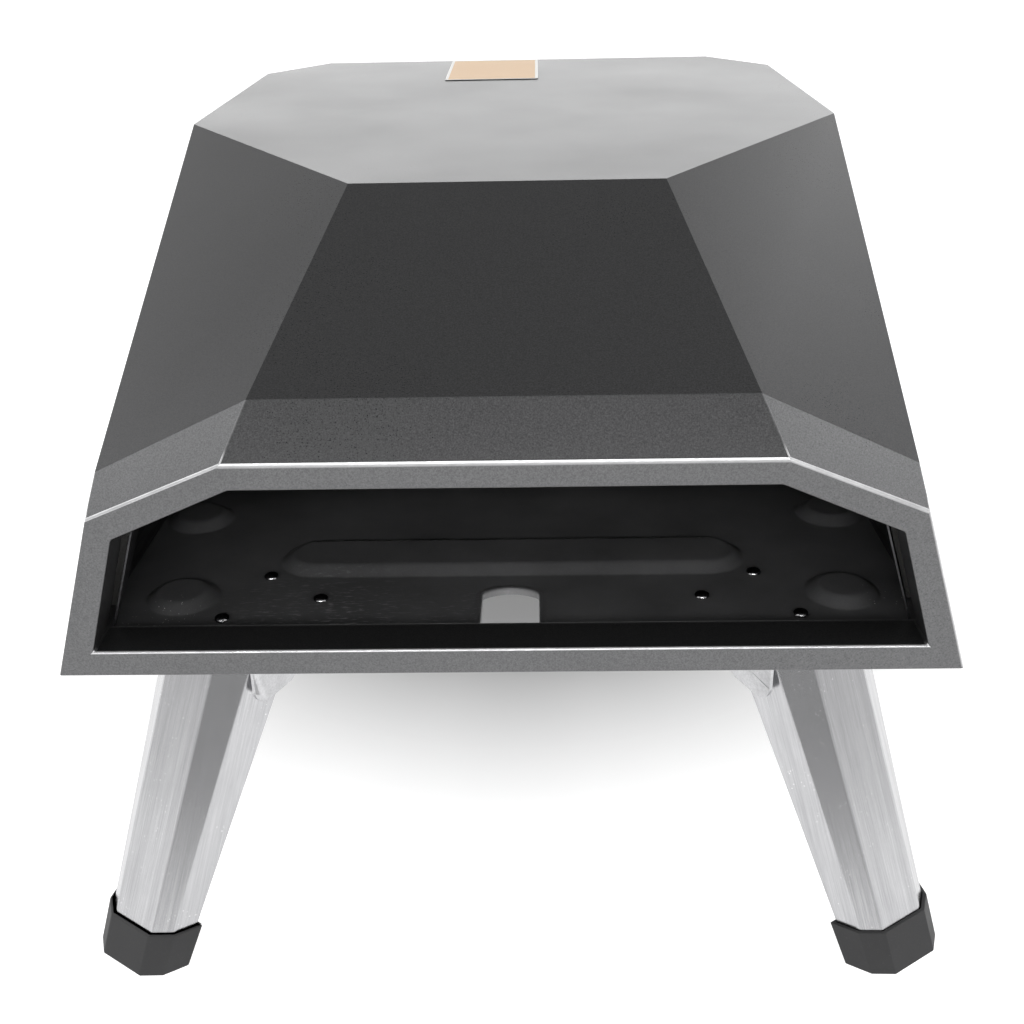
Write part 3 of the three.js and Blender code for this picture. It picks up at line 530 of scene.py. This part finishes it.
def cad_copy(node):
    """A welded copy of a CAD node's mesh, with each flat face in one piece."""
    made = bmesh.new()
    made.from_mesh(NODES[node].data)
    bmesh.ops.remove_doubles(made, verts=made.verts[:], dist=2e-5)
    bmesh.ops.dissolve_limit(
        made, angle_limit=math.radians(0.8), verts=made.verts[:], edges=made.edges[:]
    )
    made.normal_update()
    made.edges.index_update()
    return made


def folded(name, made, width, segments, sheet):
    """A sheet from its outer surface: the weighed folds rounded, then thickened inward."""
    return add_thickness(add_bevel(linked(name, made), width, segments, by_weight=True), sheet)


def softened(name, node, width, segments=2):
    """A copy of a CAD node with every edge rounded."""
    return settled(add_bevel(linked(name, cad_copy(node)), width, segments))


def on_outside(made, face):
    """Whether the whole mesh lies behind the face's plane."""
    normal, point = face.normal, face.verts[0].co
    return all((v.co - point).dot(normal) < 1e-4 for v in made.verts)


def keep_faces(made, wanted):
    bmesh.ops.delete(made, geom=[f for f in made.faces if f not in wanted], context="FACES")
    made.normal_update()


def weigh_folds(made, offset_of, largest):
    """Sets each fold's share of the bevel width: offset_of(edge) is the offset wanted, in mm."""
    weights = made.edges.layers.float.new("bevel_weight_edge")
    for edge in made.edges:
        if len(edge.link_faces) == 2 and edge.calc_face_angle(0) > math.radians(2):
            edge[weights] = offset_of(edge) / largest


def turned(name, profile, segments, place):
    """A surface of revolution about +Z. The profile runs from the axis at the bottom to the axis
    at the top, in millimetres as (radius, height)."""
    made = bmesh.new()
    rings = []
    for radius, height in profile:
        if radius == 0:
            rings.append([made.verts.new((0, 0, height))])
            continue
        outline = circle(0, 0, radius, segments)
        rings.append([made.verts.new((x, y, height)) for x, y in outline])
    for low, high in zip(rings, rings[1:]):
        for i in range(segments):
            j = (i + 1) % segments
            a, b = low[i % len(low)], low[j % len(low)]
            c, d = high[j % len(high)], high[i % len(high)]
            made.faces.new(list(dict.fromkeys((a, b, c, d))))
    bmesh.ops.transform(made, matrix=place @ Matrix.Scale(MM, 4), verts=made.verts[:])
    bmesh.ops.recalc_face_normals(made, faces=made.faces[:])
    return linked(name, made)


def toward_y(x, y, z):
    """Puts a turned piece's axis along +Y, from a point in metres."""
    return Matrix.Translation((x, y, z)) @ Matrix.Rotation(-math.pi / 2, 4, "X")


# ---- Hood, front frame, liner, housing
def is_wall(face):
    return abs(face.normal.z) < 0.35


def outer_skin(node):
    """A CAD node's outside faces, without those that face straight forward or down."""
    made = cad_copy(node)
    outside = {f for f in made.faces if on_outside(made, f)}
    keep_faces(made, {f for f in outside if f.normal.y > -0.9 and f.normal.z > -0.9})
    return made


def make_hood():
    made = outer_skin("hood_shell")

    def offset_of(edge):
        return HOOD_CORNER if all(map(is_wall, edge.link_faces)) else HOOD_FOLD

    weigh_folds(made, offset_of, HOOD_CORNER)
    hood = folded("hood", made, HOOD_CORNER, 5, SHEET)
    put(settled(hood), "oven_body", "powder_coat", "hood_shell")


def make_front_frame():
    made = cad_copy("front_frame")
    outside = {f for f in made.faces if on_outside(made, f) and f.normal.y < 0.7}
    face = max(outside, key=lambda f: (-f.normal.y > 0.99) * f.calc_area())
    face_y = face.calc_center_median().y
    flat = {f for f in outside if f.normal.y < -0.99}
    throat = {
        other
        for f in flat
        for e in f.edges
        for other in e.link_faces
        if other not in outside and abs(other.normal.y) < 0.05
    }
    keep_faces(made, outside | throat)
    # The sill turns down behind the mouth to meet the floor pan.
    back = face_y + SILL_DEPTH * MM
    low = min(v.co.z for f in made.faces if f.normal.z > 0.99 for v in f.verts)
    for edge in made.edges[:]:
        if all(abs(v.co.y - back) < 1e-4 and abs(v.co.z - low) < 1e-4 for v in edge.verts):
            fresh = bmesh.ops.extrude_edge_only(made, edges=[edge])["geom"]
            for v in (g for g in fresh if isinstance(g, bmesh.types.BMVert)):
                v.co.z = (FLOOR_TOP + 0.6) * MM
    made.normal_update()

    def offset_of(edge):
        a, b = edge.verts[0].co, edge.verts[1].co
        if abs((b - a).normalized().y) > 0.9:
            return FRAME_CORNER
        steepest = max(abs(f.normal.y) for f in edge.link_faces)
        return FRAME_LIP if steepest > 0.9 else FRAME_FOLD

    weigh_folds(made, offset_of, FRAME_CORNER)
    mouth = folded("mouth_frame", made, FRAME_CORNER, 5, SHEET)
    put(settled(mouth), "oven_body", "powder_coat", "front_frame")


def make_liner():
    made = outer_skin("inner_liner")
    weigh_folds(made, lambda edge: LINER_FOLD, LINER_FOLD)
    liner = folded("liner", made, LINER_FOLD, 3, LINER_SHEET)
    put(settled(liner), "oven_body", "liner_steel", "inner_liner")


def make_housing():
    made = cad_copy("burner_housing")
    keep_faces(made, {f for f in made.faces if on_outside(made, f) and f.normal.y > -0.9})
    weigh_folds(made, lambda edge: HOUSING_FOLD, HOUSING_FOLD)
    housing = folded("housing", made, HOUSING_FOLD, 4, SHEET)
    put(settled(housing), "oven_body", "powder_coat", "burner_housing")


# ---- Floor pan
def ring(points, distance=0.0):
    """A convex, counterclockwise outline of (x, y) moved outward, corner by corner."""
    grown = []
    for i, (x, y) in enumerate(points):
        ax, ay = points[i - 1]
        bx, by = points[(i + 1) % len(points)]
        first = Vector((y - ay, ax - x)).normalized()
        second = Vector((by - y, x - bx)).normalized()
        middle = (first + second).normalized()
        step = distance / max(middle.dot(first), 0.2)
        grown.append((x + middle.x * step, y + middle.y * step))
    return grown


def circle(x, y, radius, count=64):
    angles = (2 * math.pi * i / count for i in range(count))
    return [(x + radius * math.cos(a), y + radius * math.sin(a)) for a in angles]


def arc(x, y, radius, start, end, steps):
    """The points of an arc, with both of its ends."""
    angles = (start + (end - start) * i / steps for i in range(steps + 1))
    return [(x + radius * math.cos(a), y + radius * math.sin(a)) for a in angles]


def stadium(y, half_length, radius, count=24):
    reach, quarter = half_length - radius, math.pi / 2
    right = arc(reach, y, radius, -quarter, quarter, count)
    return right + arc(-reach, y, radius, quarter, 3 * quarter, count)


def finger_outline():
    """A circle with its left and right sides cut flat and the four corners eased."""
    across = HOLE_HALF_WIDTH - HOLE_EASE
    rise = math.sqrt((HOLE_RADIUS - HOLE_EASE) ** 2 - across**2)
    turn = math.atan2(rise, across)
    half = [
        *arc(across, rise, HOLE_EASE, 0, turn, 6),
        *arc(0, 0, HOLE_RADIUS, turn, math.pi - turn, 12)[1:-1],
        *arc(-across, rise, HOLE_EASE, math.pi - turn, math.pi, 6),
    ]
    return [(x, HOLE_Y + y) for x, y in half + [(-x, -y) for x, y in half]]


def loops_round(faces):
    """The closed loops of edges that have one face among faces, as lists of corners."""
    edges = {e for f in faces for e in f.edges if sum(o in faces for o in e.link_faces) == 1}
    loops = []
    while edges:
        edge = min(edges, key=lambda e: e.index)
        edges.discard(edge)
        loop, at = [edge.verts[0]], edge.verts[1]
        while at is not loop[0]:
            loop.append(at)
            following = next(e for e in at.link_edges if e in edges)
            edges.discard(following)
            at = following.other_vert(at)
        loops.append(loop)
    return loops


def make_pan():
    """The pan: its CAD walls, and a floor made again with rounded pressings."""
    cad = cad_copy("floor_pan")
    level = FLOOR_TOP * MM
    floor = {
        f
        for f in cad.faces
        if f.normal.z > 0.99 and abs(f.calc_center_median().z - level) < 1e-4
    }
    outline = max(loops_round(floor), key=span_of)
    edges = {frozenset((outline[i - 1], v)) for i, v in enumerate(outline)}
    middle = Vector((0, 0, level))
    walls = [
        f
        for e in cad.edges
        if frozenset(e.verts) in edges
        for f in e.link_faces
        if f not in floor and (middle - f.verts[0].co).dot(f.normal) > 0
    ]
    made = bmesh.new()
    for f in walls:
        made.faces.new([made.verts.new(v.co) for v in f.verts])
    border = [(v.co.x / MM, v.co.y / MM + MIDDLE_Y) for v in outline]
    cad.free()

    shapes = [(circle(x, y, DIMPLE_RADIUS), EMBOSS_STEPS, True) for x, y in DIMPLES]
    shapes.append((stadium(RIB_Y, RIB_HALF_LENGTH, RIB_RADIUS), EMBOSS_STEPS, True))
    shapes.append((finger_outline(), COLLAR_STEPS, False))
    feet = [ring(shape, steps[0][0]) for shape, steps, _ in shapes]
    fill_floor(made, border, feet)
    for shape, steps, capped in shapes:
        rings = [floor_ring(made, ring(shape, distance), height) for distance, height in steps]
        for low, high in zip(rings, rings[1:]):
            for i in range(len(low)):
                j = (i + 1) % len(low)
                made.faces.new((low[i], low[j], high[j], high[i]))
        if capped:
            made.faces.new(rings[-1])
    bmesh.ops.remove_doubles(made, verts=made.verts[:], dist=3e-5)
    bmesh.ops.recalc_face_normals(made, faces=made.faces[:])
    made.normal_update()
    if sum(f.normal.z * f.calc_area() for f in made.faces) < 0:
        bmesh.ops.reverse_faces(made, faces=made.faces[:])
    made.normal_update()

    def offset_of(edge):
        return PAN_FOLD if edge.calc_face_angle(0) > math.radians(60) else 0

    weigh_folds(made, offset_of, PAN_FOLD)
    pan = folded("pan", made, PAN_FOLD, 3, SHEET)
    put(settled(pan, sharp=50), "oven_body", "pan_coat", "floor_pan")


def span_of(loop):
    return max(v.co.x for v in loop) - min(v.co.x for v in loop)


def floor_ring(made, outline, height):
    """The corners of an outline on the pan, height millimetres above its floor."""
    level = (FLOOR_TOP + height) * MM
    return [made.verts.new((x * MM, (y - MIDDLE_Y) * MM, level)) for x, y in outline]


def fill_floor(made, border, holes):
    """Fills the floor between its border and the feet of the pressings with triangles."""
    points, lines = [], []
    for outline in (border, *holes):
        start = len(points)
        points += outline
        lines += [(start + i, start + (i + 1) % len(outline)) for i in range(len(outline))]
    found = delaunay_2d_cdt([Vector(p) for p in points], lines, [], 0, 1e-4)
    corners = floor_ring(made, found[0], 0)
    for triangle in found[2]:
        centre = sum((found[0][i] for i in triangle), Vector((0, 0))) / 3
        covered = any(within(centre, hole) for hole in holes)
        if not covered and within(centre, border):
            made.faces.new([corners[i] for i in triangle])


def within(point, outline):
    """Whether a point lies inside an outline of (x, y)."""
    inside = False
    for i, (x, y) in enumerate(outline):
        px, py = outline[i - 1]
        if (y > point.y) != (py > point.y) and point.x < (px - x) * (point.y - y) / (py - y) + x:
            inside = not inside
    return inside


RIVET_TOP = 2.3  # height of a rivet's head over the pan
RIVET_SHANK = [
    (0, -4.6), (3.0, -4.6), (3.2, -4.3), (3.2, -2.6), (2, -2.6), (2, 0), (3.7, 0), (3.9, 0.18),
]


def make_rivets():
    """Domed rivet heads on the pan, each over its CAD rivet."""
    dome = [
        (3.86 * math.cos(a), 0.22 + 2.05 * math.sin(a)) for a in (0.2, 0.42, 0.66, 0.92, 1.18, 1.4)
    ]
    profile = [*RIVET_SHANK, *dome, (0, 2.28)]
    for node in named("pan_rivet_"):
        middle, top = middle_of(node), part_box(node)[1].z
        place = Matrix.Translation((middle.x, middle.y, top - RIVET_TOP * MM))
        rivet = turned(node.replace("pan_rivet", "rivet"), profile, 28, place)
        put(settled(rivet), "oven_body", "bright_steel", node, paint="dark_chrome")


# ---- Legs
def leg_corners():
    """Name, pivot in mm and turn of each leg's frame, as in the CAD part."""
    turn = math.radians(LEG_TURN)
    rear = BODY_DEPTH - PIVOT_Y
    return [
        ("front_left", -PIVOT_X, PIVOT_Y, -turn),
        ("front_right", PIVOT_X, PIVOT_Y, turn),
        ("rear_left", -PIVOT_X, rear, turn - math.pi),
        ("rear_right", PIVOT_X, rear, math.pi - turn),
    ]


def leg_place(x, y, yaw):
    """From a leg's own frame, in millimetres, to the row frame."""
    lean = Matrix.Rotation(math.radians(-LEG_LEAN), 4, "X")
    turn = Matrix.Rotation(yaw, 4, "Z")
    shift = Matrix.Translation((x * MM, (y - MIDDLE_Y) * MM, PIVOT_Z * MM))
    return shift @ turn @ lean @ Matrix.Scale(MM, 4)


def rounded_path(points, radius, steps=6):
    """An open line with its inner corners replaced by arcs."""
    path = [Vector(points[0])]
    for before, at, after in zip(points, points[1:], points[2:]):
        at = Vector(at)
        a, b = (Vector(before) - at).normalized(), (Vector(after) - at).normalized()
        half = a.angle(b) / 2
        reach = radius / math.tan(half)
        centre = at + (a + b).normalized() * (radius / math.sin(half))
        start, end = at + a * reach - centre, at + b * reach - centre
        for i in range(steps + 1):
            t = i / steps
            path.append(centre + start.slerp(end, t).normalized() * radius)
    path.append(Vector(points[-1]))
    return path


def leg_section(z):
    """The outline of a leg's channel at a height in its own frame."""
    along = (z - LEG_LOWER["z"]) / (LEG_UPPER["z"] - LEG_LOWER["z"])
    at = {key: LEG_LOWER[key] + (LEG_UPPER[key] - LEG_LOWER[key]) * along for key in LEG_LOWER}
    side = [
        (at["web"], LEG_FACE),
        (at["bend"], LEG_FACE + at["depth"]),
        (at["edge"], LEG_FACE + at["edge_depth"]),
    ]
    return rounded_path([(-x, y) for x, y in reversed(side)] + side, LEG_FOLD)


def cut_away(made, point, normal):
    """Removes what lies beyond a plane."""
    everything = made.verts[:] + made.edges[:] + made.faces[:]
    bmesh.ops.bisect_plane(
        made, geom=everything, dist=1e-5, plane_co=point, plane_no=normal, clear_outer=True
    )


def make_leg(name, x, y, yaw):
    """A leg's tapered channel, with its ears round the pin."""
    made = bmesh.new()
    grain = made.loops.layers.uv.new("grain")
    levels = [LEG_END - LEG_STOCK * i / LEG_ROWS for i in range(LEG_ROWS, -1, -1)]
    rows, widths = [], []
    for z in levels:
        path = leg_section(z)
        run = [0.0]
        for a, b in zip(path, path[1:]):
            run.append(run[-1] + (b - a).length)
        rows.append([made.verts.new((p.x, p.y, z)) for p in path])
        widths.append([(r - run[-1] / 2) * MM for r in run])
    for k in range(len(levels) - 1):
        for i in range(len(rows[0]) - 1):
            corners = [(k, i), (k, i + 1), (k + 1, i + 1), (k + 1, i)]
            face = made.faces.new([rows[a][b] for a, b in corners])
            for loop, (a, b) in zip(face.loops, corners):
                loop[grain].uv = (widths[a][b], levels[a] * MM)
    for side in (1, -1):
        cut_away(made, (side * LEG_HALF_WIDTH, 0, 0), (side, 0, 0))
    place = leg_place(x, y, yaw)
    bmesh.ops.transform(made, matrix=place, verts=made.verts[:])
    cut_away(made, (0, 0, LEG_CUT_HEIGHT * MM), (0, 0, -1))
    made.normal_update()
    leg = add_thickness(linked(f"channel_{name}", made), LEG_SHEET)
    add_bevel(leg, 0.35, 2, angle=60)
    put(settled(leg), f"folding_leg_{name}", "leg_steel", f"leg_{name}")
    bore, ease = 3.4, 0.3
    profile = [
        (bore, 0),
        (EAR_RADIUS - ease, 0),
        (EAR_RADIUS, ease),
        (EAR_RADIUS, LEG_SHEET - ease),
        (EAR_RADIUS - ease, LEG_SHEET),
        (bore, LEG_SHEET),
        (bore, 0),
    ]
    for side, inner in (("left", -LEG_HALF_WIDTH), ("right", LEG_HALF_WIDTH - LEG_SHEET)):
        across = Matrix.Translation((inner, 0, 0)) @ Matrix.Rotation(math.pi / 2, 4, "Y")
        ear = turned(f"ear_{side}_{name}", profile, 40, place @ across @ Matrix.Scale(1 / MM, 4))
        put(settled(ear), f"folding_leg_{name}", "brushed_steel")


def make_leg_pin(name, x, y, yaw):
    shoulder = LEG_HALF_WIDTH + PIN_OVERHANG
    head = [(5.4, 0.9), (5.0, 1.5), (3.9, 1.9), (0, 2)]  # radius, height over the shoulder
    profile = [(radius, -shoulder - height) for radius, height in reversed(head)]
    profile += [(5.4, -shoulder), (3, -shoulder), (3, shoulder), (5.4, shoulder + 0.1)]
    profile += [(radius, shoulder + height) for radius, height in head]
    turn = Matrix.Rotation(yaw, 4, "Z") @ Matrix.Rotation(math.pi / 2, 4, "Y")
    shift = Matrix.Translation((x * MM, (y - MIDDLE_Y) * MM, PIVOT_Z * MM))
    pin = turned(f"pin_{name}", profile, 32, shift @ turn)
    put(settled(pin), "oven_body", "bright_steel", f"leg_pin_{name}")


def make_legs():
    for name, x, y, yaw in leg_corners():
        make_leg(name, x, y, yaw)
        make_leg_pin(name, x, y, yaw)
        foot = softened(f"cap_{name}", f"foot_{name}", 0.9, 3)
        put(foot, f"folding_leg_{name}", "foot_rubber", f"foot_{name}")
        bracket = softened(f"bracket_{name}", f"leg_bracket_{name}", 0.45, 2)
        put(bracket, "oven_body", "brushed_steel", f"leg_bracket_{name}")


# ---- Rear and controls
KNOB_PROFILE = [
    (18.6, 0.0), (19, 0.5), (19, 4), (18.7, 5), (17.6, 13), (16.9, 17), (16.2, 18.2), (15, 18.9),
    (13, 19),
]
KNOB_FLUTES, KNOB_STEPS = 12, 144
FLUTE_DEPTH, FLUTE_START, FLUTE_RUN = 1.7, 4.2, 2  # the flutes deepen over a run above a skirt


def knob_radius(radius, height, angle):
    """The radius at an angle, with the flutes taken off."""
    wave = max(0.0, math.cos(angle * KNOB_FLUTES)) ** 3
    rise = min(1, max(0, (height - FLUTE_START) / FLUTE_RUN))
    return radius - FLUTE_DEPTH * wave * rise * (1 if radius > 14 else 0.4)


def make_knob():
    low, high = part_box("control_knob")
    centre = middle_of("control_knob")
    made = bmesh.new()
    rings = []
    for radius, height in KNOB_PROFILE:
        row = []
        for i in range(KNOB_STEPS):
            a = 2 * math.pi * i / KNOB_STEPS
            reach = knob_radius(radius, height, a)
            row.append(made.verts.new((reach * math.cos(a), reach * math.sin(a), height)))
        rings.append(row)
    for a, b in zip(rings, rings[1:]):
        for i in range(KNOB_STEPS):
            j = (i + 1) % KNOB_STEPS
            made.faces.new((a[i], a[j], b[j], b[i]))
    made.faces.new(rings[-1])
    made.faces.new(rings[0][::-1])
    place = toward_y(centre.x, low.y, centre.z) @ Matrix.Scale(MM, 4)
    bmesh.ops.transform(made, matrix=place, verts=made.verts[:])
    knob = linked("knob", made)
    ridge = bar(
        "ridge",
        (centre.x - 0.0038, low.y + 0.016, low.z + 0.0055),
        (centre.x + 0.0038, high.y - 0.0002, high.z - 0.0025),
        0.9,
    )
    mark = bar(
        "mark",
        (centre.x - 0.0007, high.y - 0.0006, centre.z + 0.004),
        (centre.x + 0.0007, high.y, high.z - 0.0038),
        0.08,
    )
    put(settled(knob), "knob_and_stem", "black_plastic", "control_knob")
    put(ridge, "knob_and_stem", "black_plastic")
    put(mark, "knob_and_stem", "black_plastic", paint="dial_ink")


def bar(name, low, high, width):
    """A block with rounded edges between two corners, in metres."""
    made = bmesh.new()
    bmesh.ops.create_cube(made, size=1)
    for v in made.verts:
        v.co = Vector((low[k] + (high[k] - low[k]) * (v.co[k] + 0.5) for k in range(3)))
    return settled(add_bevel(linked(name, made), width, 3))


BEZEL_PROFILE = [
    (4.6, 0), (23.6, 0), (24, 0.3), (24, 0.9), (23.2, 1.5), (22.4, 1.6), (20.6, 1.45), (4.6, 1.45),
    (4.6, 0),
]
COLLAR_PROFILE = [
    (7.9, 0), (11.3, 0), (11.5, 0.3), (11.5, 2), (10.8, 2.8), (10.2, 3), (8.6, 3), (7.9, 2.4),
    (7.9, 0),
]


def turned_on(name, node, profile, segments):
    """A turned piece with its axis on a CAD node's, starting at the node's front."""
    centre = middle_of(node)
    return settled(turned(name, profile, segments, toward_y(centre.x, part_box(node)[0].y, centre.z)))


def make_controls():
    make_knob()
    bezel = turned_on("bezel", "knob_bezel", BEZEL_PROFILE, 72)
    put(bezel, "oven_body", "bright_steel", "knob_bezel")
    collar = turned_on("collar", "igniter_collar", COLLAR_PROFILE, 56)
    put(collar, "oven_body", "bright_steel", "igniter_collar")
    low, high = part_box("igniter_button")
    top = (high.y - low.y) / MM
    profile = [(0, 0), (7.3, 0), (7.3, top - 1.6), (7.0, top - 0.8), (6.4, top - 0.25), (5.4, top)]
    profile += [(4.2, top - 0.3), (2.4, top - 0.7), (0, top - 0.8)]
    button = turned_on("button", "igniter_button", profile, 48)
    put(button, "igniter_push", "black_plastic", "igniter_button")
    for node in named("rear_screw_"):
        screw = softened(node.replace("rear_screw", "screw"), node, 0.3, 2)
        put(screw, "oven_body", "bright_steel", node)


THREAD_START, THREAD_PITCH, THREAD_TURNS = 101.4, 1.3, 9
HEX_RADIUS, HEX_START, HEX_END = 10, 92.3, 101


def make_inlet():
    """The gas inlet's threaded barrel and its hexagon, along +X."""
    centre = middle_of("gas_inlet")
    along = Matrix.Translation((0, centre.y, centre.z)) @ Matrix.Rotation(math.pi / 2, 4, "Y")
    profile = [(3.2, 16), (5, 16), (5, 100.8), (6.0, 101)]
    for turn in range(THREAD_TURNS):
        crest = THREAD_START + turn * THREAD_PITCH
        profile += [(6.2, crest), (5.5, crest + THREAD_PITCH / 2)]
    profile += [(5.9, 113.4), (5.2, 114), (5, 114.4), (5, 115.4), (4.6, 116), (3.6, 116)]
    profile += [(3.2, 115.4), (3.2, 16)]
    barrel = turned("inlet_barrel", profile, 40, along)
    put(settled(barrel), "oven_body", "brass", "gas_inlet")
    hexagon = bmesh.new()
    corners = circle(0, 0, HEX_RADIUS, 6)
    rows = [[hexagon.verts.new((x, y, z)) for y, z in corners] for x in (HEX_START, HEX_END)]
    for i in range(6):
        j = (i + 1) % 6
        hexagon.faces.new((rows[0][i], rows[0][j], rows[1][j], rows[1][i]))
    hexagon.faces.new(rows[1])
    hexagon.faces.new(rows[0][::-1])
    bmesh.ops.recalc_face_normals(hexagon, faces=hexagon.faces[:])
    place = Matrix.Translation((0, centre.y, centre.z)) @ Matrix.Scale(MM, 4)
    bmesh.ops.transform(hexagon, matrix=place, verts=hexagon.verts[:])
    nut = settled(add_bevel(linked("inlet_hex", hexagon), 0.6, 3))
    put(nut, "oven_body", "brass")


LABEL_BORDER, LABEL_DROP, LABEL_FILM = 0.0022, 0.0001, 0.08  # metres, metres, millimetres


def make_label():
    """A blank film on the rear of the top, with a pale border."""
    low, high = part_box("rating_label")
    film = label_sheet("label_border_film", low, high, LABEL_DROP, 2.2)
    put(film, "oven_body", "label_film", "rating_label", paint="label_border")
    inset = Vector((LABEL_BORDER, LABEL_BORDER, 0))
    panel = label_sheet("label_panel", low + inset, high - inset, 0.0, 0.8)
    put(panel, "oven_body", "label_film")


def label_sheet(name, low, high, drop, corner):
    """A thin film with rounded corners, drop metres below the top of its box."""
    made = bmesh.new()
    level = high.z - drop
    corners = [(low.x, low.y), (high.x, low.y), (high.x, high.y), (low.x, high.y)]
    made.faces.new([made.verts.new((x, y, level)) for x, y in corners])
    bmesh.ops.bevel(
        made, geom=made.verts[:], offset=corner * MM, segments=5, profile=0.5, affect="VERTICES"
    )
    made.normal_update()
    if made.faces[:][0].normal.z < 0:
        bmesh.ops.reverse_faces(made, faces=made.faces[:])
    return settled(add_thickness(linked(name, made), LABEL_FILM))


def make_rear():
    panel = softened("back_panel", "rear_panel", 0.3, 2)
    put(panel, "oven_body", "powder_coat", "rear_panel")
    for node in ("flame_guard", "burner_tube", "burner_saddle_left", "burner_saddle_right"):
        slot = "liner_steel" if node == "flame_guard" else "brushed_steel"
        put(softened(f"{node}_sheet", node, 0.3, 2), "oven_body", slot, node)


# CAD nodes that are shown as they are, and what each is made of.
CARRIED_OVER = {
    "insulation_blanket": "ceramic_fibre",
    "igniter_electrode": "glazed_ceramic",
    "gas_valve": "brass",
    "gas_jet": "brass",
    "valve_stem": "bright_steel",
    "inlet_nut": "brass",
    "igniter_body": "black_plastic",
}


def paint_carried_over():
    for node, slot in CARRIED_OVER.items():
        NODES[node].data.materials.clear()
        NODES[node].data.materials.append(MATERIALS[slot])


MATERIALS = make_materials()
make_camera()
make_world()
make_floor()
for softbox in SOFTBOXES:
    make_softbox(*softbox)
make_hood()
make_front_frame()
make_liner()
make_housing()
make_pan()
make_rivets()
make_legs()
make_rear()
make_controls()
make_inlet()
make_label()
paint_carried_over()
bpy.context.scene.view_settings.view_transform = "Standard"
